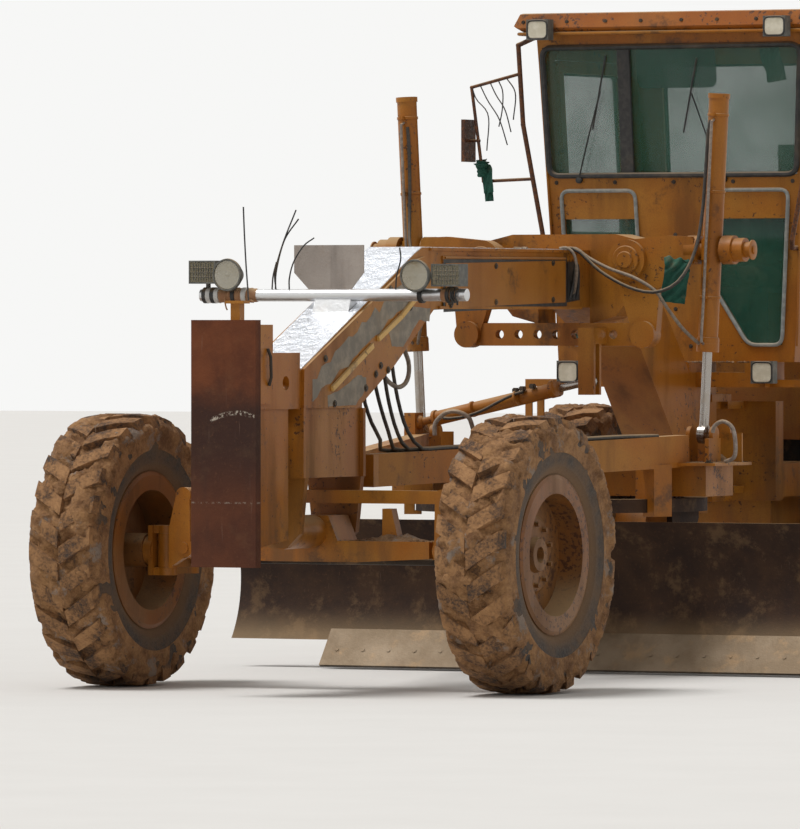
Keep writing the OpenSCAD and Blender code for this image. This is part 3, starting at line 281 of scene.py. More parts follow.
def yellow_paint(name, base, faded, grime_amount=0.6, chip_line=0.72):
    """Old paint from base to faded; a lower chip_line leaves more chips."""
    f = Finish(name)
    patches = f.noise(1.7, 3)
    streaks = f.noise(5.0, 6, stretch=(1, 1, 0.18))
    stains = f.noise(3.1, 6, 0.72, move=(5, 2, 8))
    chips = f.noise(38, 4, 0.7)
    where_chipped = f.noise(2.3, 3, move=(3, 7, 1))
    fine = f.noise(140, 3)
    colour = f.mix(f.ramp(patches, 0.38, 0.66), base, faded)
    colour = f.mix(f.ramp(fine, 0.3, 0.8) * 0.25, colour, GRIME)
    grime = f.ramp(streaks, 0.44, 0.74) * grime_amount
    colour = f.mix(grime, colour, GRIME)
    oily = f.ramp(stains, 0.56, 0.70) * 0.75
    colour = f.mix(oily, colour, (0.050, 0.022, 0.010))
    low = f.ramp(f.height(), 1.5, 0.6)
    colour = f.mix(low * f.ramp(streaks, 0.35, 0.75) * 0.6, colour, (0.17, 0.085, 0.034))
    chipped = f.ramp(chips + where_chipped * 0.55, chip_line + 0.20, chip_line + 0.25)
    colour = f.mix(chipped * 0.85, colour, (0.055, 0.022, 0.012))
    dusted = f.upward() * f.ramp(patches + fine * 0.3, 0.40, 0.75)
    colour = f.mix(dusted * 0.75, colour, DUST)
    rough = 0.40 + grime * 0.3 + dusted * 0.4 - oily * 0.12
    relief = chipped * -0.4 + fine * 0.25 + dusted * 0.4
    FINISHES[name] = f.set(Base_Color=colour, Roughness=rough, Specular_IOR_Level=0.3,
                           Normal=f.bump(relief, 0.002, 0.6))


yellow_paint("yellow_paint", (0.36, 0.118, 0.008), (0.41, 0.168, 0.020))
yellow_paint("roof_orange", (0.31, 0.082, 0.006), (0.37, 0.120, 0.015), 0.5, 0.67)
yellow_paint("rim_ochre", (0.22, 0.075, 0.014), (0.24, 0.11, 0.034), 0.8, 0.66)
yellow_paint("mirror_tube", (0.18, 0.060, 0.014), (0.13, 0.048, 0.016), 0.7, 0.55)
yellow_paint("cover_yellow", (0.33, 0.118, 0.012), (0.37, 0.150, 0.022), 0.3, 0.80)
yellow_paint("fresh_stripe", (0.72, 0.42, 0.10), (0.75, 0.47, 0.15), 0.2, 0.74)
print("paints:", sorted(FINISHES))

# %% [markdown]
# Bare and rusty metal. Rust is the same idea in other colours: large blotches, fine grain, and
# a strong bump, because rust stands up where paint lies flat. The push block is two plates
# welded one over the other: red rust above the weld fades to near black below it, with long
# upright scrapes from the machines it has pushed. Its weld spatter is an arc of light specks and
# its lower seam a fine pale line. Both are drawn by the finish, because beads standing proud of
# the block's face would make the machine longer.

# %% Rust and iron
WELD_Z = 1.49
SPATTER_Z = 1.352
SEAM_Z = 0.949
HEAVY_RUST = 0.82


def rust(name, dark, light, scrape=0.0, roughness=HEAVY_RUST, metal=0.0, soil=0.3, below=None):
    """Rusty metal from dark to light; below is the colour of the block's lower plate."""
    f = Finish(name)
    blotches = f.noise(3.0, 6, 0.65)
    grain = f.noise(60, 4, 0.7)
    runs = f.noise(7.0, 5, stretch=(1, 1, 0.12))
    colour = f.mix(f.ramp(blotches, 0.35, 0.68), dark, light)
    if below:
        lower = f.ramp(f.height() + blotches * 0.25, WELD_Z + 0.24, WELD_Z)
        deeper = f.ramp(f.height() + blotches * 0.3, WELD_Z - 0.1, WELD_Z - 0.45)
        colour = f.mix((lower - deeper * 0.55) * 0.85, colour, below)
    colour = f.mix(f.ramp(runs, 0.5, 0.8) * 0.5, colour, (0.022, 0.011, 0.009))
    colour = f.mix(f.ramp(grain, 0.55, 0.8) * 0.3, colour, (0.20, 0.085, 0.035))
    if scrape:
        scratches = f.ramp(f.noise(90, 3, stretch=(1, 1, 0.03)), 0.66, 0.76) * scrape
        colour = f.mix(scratches, colour, (0.24, 0.15, 0.11))
    soiled = f.ramp(f.noise(5.5, 6, 0.7, move=(2, 9, 4)), 0.52, 0.68) * soil
    colour = f.mix(soiled, colour, (0.27, 0.16, 0.075))
    dusted = f.upward() * (0.75 - metal * 0.8)
    colour = f.mix(dusted, colour, DUST)
    if below:
        across = f.axis(f.place, "X")
        arc = f.height() - SPATTER_Z - f.sum("SINE", (across + 0.07) * 11) * 0.036
        near_arc = f.ramp(f.sum("ABSOLUTE", arc), 0.014, 0.006)
        along = f.ramp(across, -0.075, -0.065) * f.ramp(across, 0.175, 0.165)
        specks = f.ramp(f.noise(64, 3, 0.8), 0.50, 0.58)
        seam = f.ramp(f.sum("ABSOLUTE", f.height() - SEAM_Z), 0.006, 0.002) * specks * 0.35
        colour = f.mix(near_arc * along * specks + seam, colour, (0.42, 0.36, 0.29))
    relief = grain * 0.7 + blotches * 0.3
    FINISHES[name] = f.set(Base_Color=colour, Roughness=roughness, Metallic=metal,
                           Specular_IOR_Level=0.3, Normal=f.bump(relief, 0.004, 0.7))


rust("rusty_block", (0.085, 0.022, 0.007), (0.15, 0.042, 0.013), 0.4, soil=0.06,
     below=(0.024, 0.010, 0.007))
rust("engine_iron", (0.030, 0.027, 0.024), (0.07, 0.058, 0.046))
rust("exhaust_rust", (0.060, 0.028, 0.016), (0.14, 0.065, 0.032), soil=0.1)
# The blade's nearly black colours are painted shade: they match the blade where it lies in the machine's
# shadow.
rust("blade_steel", (0.022, 0.010, 0.006), (0.055, 0.026, 0.012), 0.2, roughness=0.78, soil=0.3)
rust("link_steel", (0.024, 0.018, 0.014), (0.065, 0.045, 0.028), roughness=0.6, soil=0.5)
rust("edge_steel", (0.060, 0.045, 0.032), (0.15, 0.12, 0.09), 0.5, roughness=0.55, metal=0.5, soil=0.5)
rust("plate_grey", (0.33, 0.285, 0.25), (0.42, 0.365, 0.32), 0.2, roughness=0.55, metal=0.3, soil=0.25)
rust("clamp_iron", (0.035, 0.028, 0.022), (0.085, 0.065, 0.048), roughness=0.55, metal=0.3)
print("finishes with the rusty ones:", len(FINISHES))

# %% [markdown]
# Bright metal is left in four places: the crumpled sheet on the nose, the lamp bar, the chromed
# rods and the lamps' bowls. All are one smooth metal with creases of different size and depth,
# and brown stains where it is duller and less like metal.


# %% Bright metal
def bright(name, colour, roughness, crumple, depth, stain):
    """Metal with creases, crumple of them to the metre, and stains up to that share."""
    f = Finish(name)
    creases = f.noise(crumple, 4, 0.65)
    fine = f.noise(crumple * 9, 3)
    stains = f.ramp(f.noise(4, 6), 0.5, 0.75) * stain
    tint = f.mix(stains, colour, (0.36, 0.27, 0.17))
    FINISHES[name] = f.set(Base_Color=tint, Metallic=0.9 - stains * 0.6,
                           Roughness=stains * 0.5 + roughness,
                           Normal=f.bump(creases + fine * 0.25, depth, 0.8))


bright("bare_foil", (0.66, 0.68, 0.72), 0.34, 16, 0.02, 0.2)
bright("bar_steel", (0.66, 0.66, 0.66), 0.32, 30, 0.003, 0.55)
bright("chrome_rod", (0.38, 0.35, 0.32), 0.24, 40, 0.0004, 0.6)
bright("reflector", (0.80, 0.79, 0.75), 0.14, 12, 0.0006, 0.5)
print("finishes with the bright ones:", len(FINISHES))

# %% [markdown]
# The tyres are half mud. Dry sand-coloured mud fills the tread and covers most lugs, grey
# rubber shows on the worn tops, and brown dust covers the sidewalls and thickens near the rim.
# The masks need each point's distance to its own axle, so the finish takes the nearest of the
# three axles. That works without any attribute on the CAD mesh.

# %% Mud and rubber
MUD = (0.39, 0.205, 0.085)
MUD_DARK = (0.135, 0.058, 0.020)


def tyre_rubber():
    f = Finish("tyre_rubber")
    first, second, third = [f.from_axle(y) for y in AXLES.values()]
    radius = f.sum("MINIMUM", f.sum("MINIMUM", first, second), third)
    lumps = f.noise(7, 7, 0.7)
    crumbs = f.noise(70, 4, 0.75)
    rubber = f.mix(f.ramp(crumbs, 0.35, 0.7), (0.030, 0.026, 0.024), (0.085, 0.074, 0.066))
    dusty = f.mix(f.ramp(lumps, 0.32, 0.68) * 0.8, rubber, (0.135, 0.080, 0.042))
    rimward = f.ramp(radius + lumps * 0.05, 0.50, 0.43)
    dusty = f.mix(rimward * 0.7, dusty, (0.19, 0.105, 0.048))
    mud = f.mix(f.ramp(lumps + crumbs * 0.4, 0.5, 0.95), MUD_DARK, MUD)
    caked = f.ramp(radius + lumps * 0.12, 0.655, 0.69) * f.ramp(lumps * 0.7 + crumbs * 0.5, 0.42, 0.62)
    colour = f.mix(caked, dusty, mud)
    relief = crumbs * 0.5 + lumps * caked
    FINISHES["tyre_rubber"] = f.set(Base_Color=colour, Roughness=0.92, Normal=f.bump(relief, 0.010, 0.9))


def dry_mud(name, dark, light):
    f = Finish(name)
    lumps = f.noise(11, 7, 0.7)
    crumbs = f.noise(75, 5, 0.75)
    cracks = f.ramp(f.cells(38), 0.15, 0.6)
    colour = f.mix(f.ramp(lumps + crumbs * 0.35, 0.46, 0.88), dark, light)
    colour = f.mix(f.ramp(crumbs, 0.60, 0.78) * 0.5, colour, (0.52, 0.37, 0.21))
    worn = f.ramp(f.noise(6, 5, 0.7, move=(4, 1, 6)), 0.54, 0.64) * 0.7
    colour = f.mix(worn, colour, (0.25, 0.215, 0.185))
    relief = crumbs * 0.6 + lumps * 0.8 + cracks * 0.25
    FINISHES[name] = f.set(Base_Color=colour, Roughness=0.96, Normal=f.bump(relief, 0.016, 1.0))


tyre_rubber()
dry_mud("dry_mud", MUD_DARK, MUD)
dry_mud("soil", (0.12, 0.060, 0.028), (0.33, 0.20, 0.10))
print("finishes with mud and rubber:", len(FINISHES))

# %% [markdown]
# Then come the small things: hoses, gaskets, black trim, lamp housings. One function gives them
# two close colours, a grain and dust on top.


# %% Small finishes
def plain(name, colour, other, roughness, scale=30, depth=0.001, dust=0.6, **more):
    f = Finish(name)
    spots = f.noise(scale, 5)
    blotches = f.noise(4, 5)
    dusted = f.upward() * dust + f.ramp(blotches, 0.5, 0.75) * dust * 0.35
    tint = f.mix(dusted, f.mix(f.ramp(spots, 0.4, 0.7), colour, other), DUST)
    FINISHES[name] = f.set(Base_Color=tint, Roughness=dusted * 0.3 + roughness,
                           Normal=f.bump(spots, depth, 0.6), **more)


plain("lamp_grey", (0.085, 0.085, 0.075), (0.15, 0.145, 0.125), 0.6)
plain("black_trim", (0.013, 0.013, 0.013), (0.035, 0.032, 0.029), 0.55, dust=0.35)
plain("seat_frame", (0.02, 0.02, 0.02), (0.05, 0.05, 0.05), 0.5)
plain("grille_black", (0.022, 0.022, 0.022), (0.05, 0.043, 0.036), 0.55)
plain("primer_grey", (0.20, 0.175, 0.14), (0.33, 0.28, 0.215), 0.7, 12, dust=0.5)
plain("hose_black", (0.020, 0.016, 0.013), (0.060, 0.045, 0.032), 0.6, 60, dust=0.5)
plain("hose_grey", (0.16, 0.125, 0.095), (0.25, 0.20, 0.155), 0.6, 60, dust=0.4)
plain("pipe_steel", (0.19, 0.15, 0.125), (0.30, 0.25, 0.21), 0.45, 50, Metallic=0.4)
plain("gasket_grey", (0.22, 0.235, 0.225), (0.34, 0.35, 0.33), 0.7)
plain("brown_tape", (0.30, 0.145, 0.065), (0.40, 0.22, 0.11), 0.7, 24, 0.002)
plain("tape_pale", (0.55, 0.55, 0.53), (0.70, 0.69, 0.66), 0.35, 24, 0.002, dust=0.3)
plain("lamp_cream", (0.60, 0.55, 0.42), (0.72, 0.67, 0.54), 0.3, 26, 0.003, dust=0.25)
plain("tail_red", (0.20, 0.012, 0.008), (0.30, 0.02, 0.012), 0.25, 60, 0.0006, dust=0.3)
print("finishes with the small ones:", len(FINISHES))

# %% [markdown]
# Cloth has a weave: two waves at right angles, 2 or 3 mm apart. Glass is nearly clear, tinted,
# and has a thin film of dust that hides more where the noise is high.

# %% Cloth and glass
WAVE = 0.314


def cloth(name, colour, other, thread, roughness=0.9):
    """Woven cloth, its threads that far apart in metres."""
    f = Finish(name)
    waves = [f.node("ShaderNodeTexWave", {"wave_type": "BANDS", "bands_direction": way},
                    {"Vector": f.place, "Scale": WAVE / thread}) for way in ("X", "Z")]
    weave = waves[0] * waves[1]
    soft = f.noise(14, 5)
    tint = f.mix(f.ramp(soft, 0.35, 0.7), colour, other)
    tint = f.mix(f.ramp(f.noise(5, 5), 0.5, 0.72) * 0.4, tint, DUST)
    FINISHES[name] = f.set(Base_Color=tint, Roughness=roughness,
                           Normal=f.bump(weave + soft, 0.0015, 0.7))


cloth("green_cloth", (0.008, 0.060, 0.040), (0.016, 0.105, 0.068), 0.003)
cloth("seat_cover", (0.018, 0.018, 0.020), (0.040, 0.038, 0.038), 0.002, 0.8)


def glass(name, tint, alpha, film_colour):
    f = Finish(name)
    film = f.ramp(f.noise(2.2, 6), 0.35, 0.75)
    colour = f.mix(film * 0.35, tint, film_colour)
    FINISHES[name] = f.set(Base_Color=colour, Roughness=film * 0.15 + 0.05,
                           Alpha=film * 0.15 + alpha)


glass("cab_glass", (0.028, 0.135, 0.092), 0.36, (0.11, 0.18, 0.135))
glass("lamp_lens", (0.30, 0.26, 0.16), 0.50, (0.34, 0.27, 0.15))
glass("visor_film", (0.022, 0.019, 0.014), 0.70, (0.040, 0.036, 0.028))
print("all finishes:", len(FINISHES))

# %% [markdown]
# Each CAD node names its material slot in the record, so one loop gives every solid its finish.

# %% Finishes on the solids
for part in frame["record"]["subparts"]:
    node = frame["nodes"][part["node"]]
    node.data.materials.clear()
    node.data.materials.append(FINISHES[part["material_slot"]])

# %% [markdown]
# Most pieces here are bars, turned parts, plates and blocks with softened edges. A Shape
# collects any number of them in one mesh, all in millimetres, so a piece reads like a parts
# list. Its last call turns it into an object, gives it a finish, and lets it ride on a body.

# %% Shapes
IRON_EDGE = 35
BOTH = (1, -1)
LEFT = (1, 0, 0)
RIGHT = (-1, 0, 0)
FRONT = (0, -1, 0)
BACK = (0, 1, 0)
UP = (0, 0, 1)
DOWN = (0, 0, -1)
SIDE_WAYS = ((1, LEFT), (-1, RIGHT))


def place_piece(name, mesh, finish, body):
    """An object for the mesh, finished, riding on that body."""
    mesh.materials.clear()
    mesh.materials.append(FINISHES[finish])
    made = bpy.data.objects.new(name, mesh)
    scene.collection.objects.link(made)
    if body:
        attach(made, body)
    print(name, "faces:", len(mesh.polygons))
    return made


class Shape:
    """A mesh in the making; its places are millimetres, y counted back from the front axle."""

    def __init__(self):
        self.mesh = bmesh.new()

    def ring(self, middle, side, up, radius, sides):
        turns = [math.tau * i / sides for i in range(sides)]
        return [self.mesh.verts.new(middle + (side * math.cos(t) + up * math.sin(t)) * radius / 1000)
                for t in turns]

    def skin(self, rings, closed=False):
        """Walls between rings of corners; a lid at both ends, or the last ring meets the first."""
        pairs = list(zip(rings, rings[1:]))
        if closed:
            pairs.append((rings[-1], rings[0]))
        for a, b in pairs:
            for i in range(len(a)):
                self.mesh.faces.new((a[i - 1], a[i], b[i], b[i - 1]))
        if not closed:
            self.mesh.faces.new(rings[0])
            self.mesh.faces.new(rings[-1])
        return self

    def tube(self, spots, radius, sides=8, closed=False):
        """A round bar along spots; radius is one number or one for each spot."""
        places = [at(*spot) for spot in spots]
        count = len(places)
        rings = []
        side = None
        for k, place in enumerate(places):
            if closed:
                along = places[(k + 1) % count] - places[k - 1]
            else:
                along = places[min(k + 1, count - 1)] - places[max(k - 1, 0)]
            along.normalize()
            side = along.orthogonal() if side is None else side - along * side.dot(along)
            side.normalize()
            size = radius[k] if isinstance(radius, list) else radius
            rings.append(self.ring(place, side, along.cross(side), size, sides))
        return self.skin(rings, closed)

    def turned(self, start, along, profile, sides=24):
        """A turned part: along is its axis, profile its [distance from start, radius] steps."""
        axis = Vector(along).normalized()
        side = axis.orthogonal().normalized()
        up = axis.cross(side)
        return self.skin([self.ring(at(*start) + axis * (far / 1000), side, up, radius, sides)
                          for far, radius in profile])

    def slab(self, outline, thick, bevel=0.0):
        """A plate: the corners of one face, and how far and which way it is thick."""
        low = [self.mesh.verts.new(at(*corner)) for corner in outline]
        high = [self.mesh.verts.new(vert.co + Vector(thick) / 1000) for vert in low]
        self.skin([low, high])
        if bevel:
            edges = list({edge for vert in low + high for edge in vert.link_edges})
            bmesh.ops.bevel(self.mesh, geom=edges, offset=bevel / 1000, segments=2, affect="EDGES")
        return self

    def block(self, low, high, bevel=3.0):
        outline = [(low[0], low[1]), (high[0], low[1]), (high[0], high[1]), (low[0], high[1])]
        return self.slab([(x, y, low[2]) for x, y in outline], (0, 0, high[2] - low[2]), bevel)

    def piece(self, name, finish, body, crease=IRON_EDGE):
        bmesh.ops.recalc_face_normals(self.mesh, faces=self.mesh.faces)
        mesh = bpy.data.meshes.new(name)
        self.mesh.to_mesh(mesh)
        self.mesh.free()
        mesh.shade_smooth()
        mesh.set_sharp_from_angle(angle=math.radians(crease))
        return place_piece(name, mesh, finish, body)


def curve_through(spots, count):
    """count places, evenly spaced, on a smooth curve through the spots."""
    ends = [Vector(spots[0]) * 2 - Vector(spots[1])] + [Vector(s) for s in spots]
    ends.append(Vector(spots[-1]) * 2 - Vector(spots[-2]))
    fine = []
    for a, b, c, d in zip(ends, ends[1:], ends[2:], ends[3:]):
        for k in range(30):
            t = k / 30
            fine.append((b * 2 + (c - a) * t + (a * 2 - b * 5 + c * 4 - d) * t ** 2
                         + (b * 3 - a - c * 3 + d) * t ** 3) / 2)
    fine.append(ends[-2])
    steps = [0.0]
    for a, b in zip(fine, fine[1:]):
        steps.append(steps[-1] + (b - a).length)
    made = []
    k = 0
    for i in range(count):
        goal = steps[-1] * i / (count - 1)
        while k < len(fine) - 2 and steps[k + 1] < goal:
            k += 1
        share = (goal - steps[k]) / max(steps[k + 1] - steps[k], 1e-9)
        made.append(tuple(fine[k].lerp(fine[k + 1], min(share, 1))))
    return made


print("shapes can be made of:", [word for word in vars(Shape) if word[0] != "_"])

# %% [markdown]
# Hoses come first, because they bend between two bodies and so are the hardest to place. Four
# leave the underside of the sloping nose, sag, and come to lie side by side on the drawbar's
# left leg, which they follow back to the side-shift cylinder. The drawbar swings on a ball below
# the nose. A smooth curve through a few measured spots gives the route. A short fifth hose loops under the
# nose.

# %% Hoses over the drawbar
HOSE = 20
GREY_HOSE = 24
LEG_LANDING = 620
LANDING_SLANT = 3.2
LEG_SPREAD = 0.3122
LEG_RISE = 0.0335


def hose(name, spots, thick, finish, body, count):
    """A hose along the spots, thick in millimetres."""
    path = curve_through(spots, count)
    made = Shape().tube(path, thick / 2, 10).piece(name, finish, body, crease=60)
    places = [at(*spot) for spot in path]
    return made


def on_leg(y, across, lift=HOSE / 2):
    """A spot on top of the drawbar's left leg, across from its middle line."""
    x = 55 + (y - 382) * LEG_SPREAD + across * 0.955
    return (x, y - across * 0.298, 1178 + (y - 700) * LEG_RISE + lift)


NOSE_HOSES = [
    ("nose_hose_a", (112, 236, 1486), (112, 250, 1430), (112, 322, 1330), (116, 416, 1238), -33),
    ("nose_hose_b", (104, 380, 1560), (104, 390, 1500), (108, 450, 1380), (116, 520, 1260), -11),
    ("nose_hose_c", (112, 470, 1606), (112, 476, 1540), (118, 520, 1400), (136, 570, 1270), 11),
    ("nose_hose_d", (92, 590, 1675), (94, 596, 1600), (108, 628, 1440), (138, 668, 1290), 33),
]
for name, leaves, drops, sags, nears, across in NOSE_HOSES:
    lands = LEG_LANDING + across * LANDING_SLANT
    route = [leaves, drops, sags, nears, on_leg(lands, across, 16), on_leg(lands + 130, across),
             on_leg(1300, across), on_leg(1800, across), on_leg(2150, across), on_leg(2420, across, 4)]
    made = hose(name, route, HOSE, "hose_black", None, 40)
    at(*leaves)
    at(*on_leg(lands, across))
    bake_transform(made)

ELBOW = ((700, 1738), (722, 1686), (764, 1630), (768, 1570), (730, 1522), (650, 1502), (560, 1522),
         (480, 1562), (430, 1596))
hose("nose_elbow_hose", [(100, y, z) for y, z in ELBOW], GREY_HOSE, "hose_grey", "front_frame", 24)

# %% [markdown]
# Mud on the tyres stands up from the rubber, so it is geometry and not only colour. Each tyre
# gets a ring whose outer skin follows the carcass: fractal noise lifts it until it fills the
# gaps and buries most lugs, and elsewhere it sinks under the rubber. The inner skin is
# hidden, which keeps the ring closed. Noise from mathutils gives the same lumps each run.

# %% Mud on the tyres
CARCASS = [(187.5, 505), (182, 570), (169, 623), (127.5, 649), (0, 653)]
TURN_STEPS = 260
SECTION_STEP = 17
TREAD_HALF = 150
SHOULDER_RADIUS = 580
HIDDEN_RADIUS = 520
GROUND_RADIUS = 683
TOP_RADIUS = 694
MUD_SPREAD = 52
MUD_AMOUNTS = {"front": 0.34, "mid": 0.12, "rear": 0.12}


def mud_cap(spot):
    """The mud's greatest height: most on the tread, less on the shoulder, least on the wall."""
    if abs(spot.x) < TREAD_HALF:
        return 44
    return 26 if spot.y > SHOULDER_RADIUS else 7


def tyre_section():
    """Places across the tyre: x from its middle and radius, the way out, the mud's cap."""
    right = [Vector(p) for p in CARCASS]
    corners = [Vector((-p.x, p.y)) for p in right] + right[-2::-1]
    section = []
    for a, b in zip(corners, corners[1:]):
        pieces = max(1, round((b - a).length / SECTION_STEP))
        out = Vector((b.y - a.y, a.x - b.x)).normalized()
        if out.y < 0:
            out = -out
        for k in range(pieces):
            spot = a.lerp(b, k / pieces)
            section.append((spot, out, mud_cap(spot)))
    section.append((corners[-1], Vector((1, 0)), 6))
    return section


def mud_ring(name, side, y, thickness, seed):
    """The mud of one tyre; thickness shifts the noise up, seed moves it."""
    shape = Shape()
    section = tyre_section()
    middle = side * HALF_TRACK
    rings = []
    for i in range(TURN_STEPS):
        turn = math.tau * i / TURN_STEPS
        ring = []
        for spot, out, cap in section:
            rim = Vector((middle + spot.x, y + spot.y * math.cos(turn),
                          AXLE_HEIGHT + spot.y * math.sin(turn)))
            place = rim / 1000 * 7 + Vector((seed, seed * 3, 0))
            rough = noise.fractal(place, 0.75, 2.1, 5)
            fine = noise.noise(rim / 1000 * 55)
            lift = min(max((rough + thickness) * MUD_SPREAD + fine * 5, -5), cap + fine * 6)
            if lift > 0 and spot.y < 600:
                lift *= max(0, (spot.y - 480) / 120)
            bulge = spot + out * lift
            ring.append((bulge.x, min(bulge.y, GROUND_RADIUS if math.sin(turn) < -0.6 else TOP_RADIUS)))
        ring += [(x, HIDDEN_RADIUS) for x in (TREAD_HALF, 0, -TREAD_HALF)]
        rings.append([shape.mesh.verts.new(at(middle + x, y + radius * math.cos(turn),
                                              AXLE_HEIGHT + radius * math.sin(turn))) for x, radius in ring])
    for a, b in zip(rings, rings[1:] + rings[:1]):
        for k in range(len(a)):
            shape.mesh.faces.new((a[k - 1], a[k], b[k], b[k - 1]))
    word = "left" if side > 0 else "right"
    return shape.piece(f"mud_{name}_{word}", "dry_mud", f"wheel_{name}_{word}", crease=70)


for name, y in AXLES.items():
    for side in BOTH:
        mud_ring(name, side, y, MUD_AMOUNTS[name], y / 1000 + side)

# %% [markdown]
# Bolts repeat all over the machine, so one Geometry Nodes tree makes them. It takes a mesh
# whose vertices are the bolts' feet, with an attribute that says which way each one stands,
# and puts a washer and a six-sided head on every vertex, turned at random from a fixed seed.
# Two named inputs set the size. The result is baked to a plain mesh, one for each body.


# %% Bolts by Geometry Nodes
def make_tree(name, inputs):
    """A tree with named inputs: the tree, a function that adds a node, and the inputs' identifiers."""
    tree = bpy.data.node_groups.new(name, "GeometryNodeTree")
    tree.interface.new_socket("Geometry", in_out="INPUT", socket_type="NodeSocketGeometry")
    tree.interface.new_socket("Geometry", in_out="OUTPUT", socket_type="NodeSocketGeometry")
    names = {}
    for word, kind in inputs:
        names[word] = tree.interface.new_socket(word, in_out="INPUT", socket_type=kind).identifier

    def add(kind, settings=None, values=None):
        node = tree.nodes.new(kind)
        for word, setting in (settings or {}).items():
            setattr(node, word, setting)
        for word, value in (values or {}).items():
            if isinstance(value, bpy.types.NodeSocket):
                tree.links.new(value, node.inputs[word])
            else:
                node.inputs[word].default_value = value
        return node

    return tree, add, names


def finish_tree(add, source, instances):
    """Real geometry with its material, the way each tree ends."""
    real = add("GeometryNodeRealizeInstances", None, {"Geometry": instances})
    painted = add("GeometryNodeSetMaterial", None,
                  {"Geometry": real.outputs[0], "Material": source.outputs["Finish"]})
    add("NodeGroupOutput", None, {0: painted.outputs[0]})


def grow(name, tree, names, carrier, finish, body, **sizes):
    """Run the tree on a carrier mesh and keep the result as one plain piece."""
    seedling = bpy.data.objects.new(name + "_carrier", carrier)
    scene.collection.objects.link(seedling)
    modifier = seedling.modifiers.new("grow", "NODES")
    modifier.node_group = tree
    modifier[names["Finish"]] = FINISHES[finish]
    for word, value in sizes.items():
        modifier[names[word.replace("_", " ")]] = value
    bpy.context.view_layer.update()
    evaluated = seedling.evaluated_get(bpy.context.evaluated_depsgraph_get())
    grown = bpy.data.meshes.new_from_object(evaluated)
    grown.name = name
    bpy.data.objects.remove(seedling)
    grown.shade_smooth()
    grown.set_sharp_from_angle(angle=math.radians(IRON_EDGE))
    return place_piece(name, grown, finish, body)


def feet(spots):
    """A mesh of lone vertices that know their way; spots are (x, y, z, way)."""
    mesh = bpy.data.meshes.new("feet")
    mesh.from_pydata([at(*spot[:3]) for spot in spots], [], [])
    ways = mesh.attributes.new("way", "FLOAT_VECTOR", "POINT")
    for k, spot in enumerate(spots):
        ways.data[k].vector = spot[3]
    return mesh


NUMBER = "NodeSocketFloat"
WHOLE = "NodeSocketInt"
FINISH_INPUT = ("Finish", "NodeSocketMaterial")
WASHER_TO_HEAD = 1.45
CHEEK = 166
bolt_tree, add, bolt_names = make_tree("bolts", [("Width", NUMBER), ("Height", NUMBER), FINISH_INPUT])
source = add("NodeGroupInput")
width = source.outputs["Width"]
height = source.outputs["Height"]
head = add("GeometryNodeMeshCylinder", None, {"Vertices": 6, "Radius": width, "Depth": height})
lift = add("ShaderNodeCombineXYZ", None, {"Z": height})
raised = add("GeometryNodeTransform", None,
             {"Geometry": head.outputs["Mesh"], "Translation": lift.outputs[0]})
wide = add("ShaderNodeMath", {"operation": "MULTIPLY"}, {0: width, 1: WASHER_TO_HEAD})
washer = add("GeometryNodeMeshCylinder", None,
             {"Vertices": 14, "Radius": wide.outputs[0], "Depth": height})
both = add("GeometryNodeJoinGeometry")
bolt_tree.links.new(raised.outputs[0], both.inputs[0])
bolt_tree.links.new(washer.outputs["Mesh"], both.inputs[0])
way = add("GeometryNodeInputNamedAttribute", {"data_type": "FLOAT_VECTOR"}, {"Name": "way"})
stand = add("FunctionNodeAlignRotationToVector", None, {"Vector": way.outputs[0]})
turn = add("FunctionNodeRandomValue", {"data_type": "FLOAT"}, {"Seed": 7})
turn.inputs[3].default_value = math.tau
spin = add("ShaderNodeCombineXYZ", None, {"Z": turn.outputs[1]})
turned = add("FunctionNodeRotateRotation", {"rotation_space": "LOCAL"}, {"Rotation": stand.outputs[0]})
bolt_tree.links.new(spin.outputs[0], turned.inputs[1])
bolts = add("GeometryNodeInstanceOnPoints", None,
            {"Points": source.outputs[0], "Instance": both.outputs[0], "Rotation": turned.outputs[0]})
finish_tree(add, source, bolts.outputs[0])


def bolt_on(name, body, spots, width, height, finish="clamp_iron"):
    return grow(name, bolt_tree, bolt_names, feet(spots), finish, body,
                Width=width / 1000, Height=height / 1000)


nose_bolts = [(side * CHEEK, y, z, way) for side, way in SIDE_WAYS
              for y, z in ((-290, 1650), (-191, 1426), (319, 1612), (265, 1570), (154, 1501), (402, 1590),
                           (650, 1905), (430, 1995))]
cover_bolts = [(side * 164, y, z, way) for side, way in SIDE_WAYS
               for y, z in ((1120, 2090), (1645, 2117), (2323, 2137),
                            (1120, 1915), (1645, 1932), (2323, 1946))]
bolt_on("nose_bolts", "front_frame", nose_bolts, 13, 6)
bolt_on("cover_bolts", "front_frame", cover_bolts, 11, 5)
bolt_on("step_studs", "front_frame", [(side * x, y, z, UP) for side in BOTH for z in (540, 850, 1160)
                                      for x in range(832, 912, 19) for y in range(4214, 4350, 19)], 4, 3)

# %% [markdown]
# The sloping nose carries marks of a hard life: a yellow angle bar along each cheek and smears
# of grey primer where the paint was ground away, one above the bar and two below it. Each smear
# is a thin skin with a ragged outline, cut by noise, so that its edge looks worn and not drawn.

# %% Cheek bars, primer and bracket fittings
cheek_bars = Shape()
for side in BOTH:
    for y0, z0, y1, z1 in ((-225, 1486, 224, 1700), (284, 1732, 548, 1848), (548, 1848, 790, 1985)):
        bar = ((y0, z0), (y1, z1), (y1 - 12, z1 + 26), (y0 - 12, z0 + 26))
        cheek_bars.slab([(side * CHEEK, y, z) for y, z in bar], (side * 15, 0, 0), 2)
cheek_bars.piece("cheek_bars", "fresh_stripe", "front_frame")

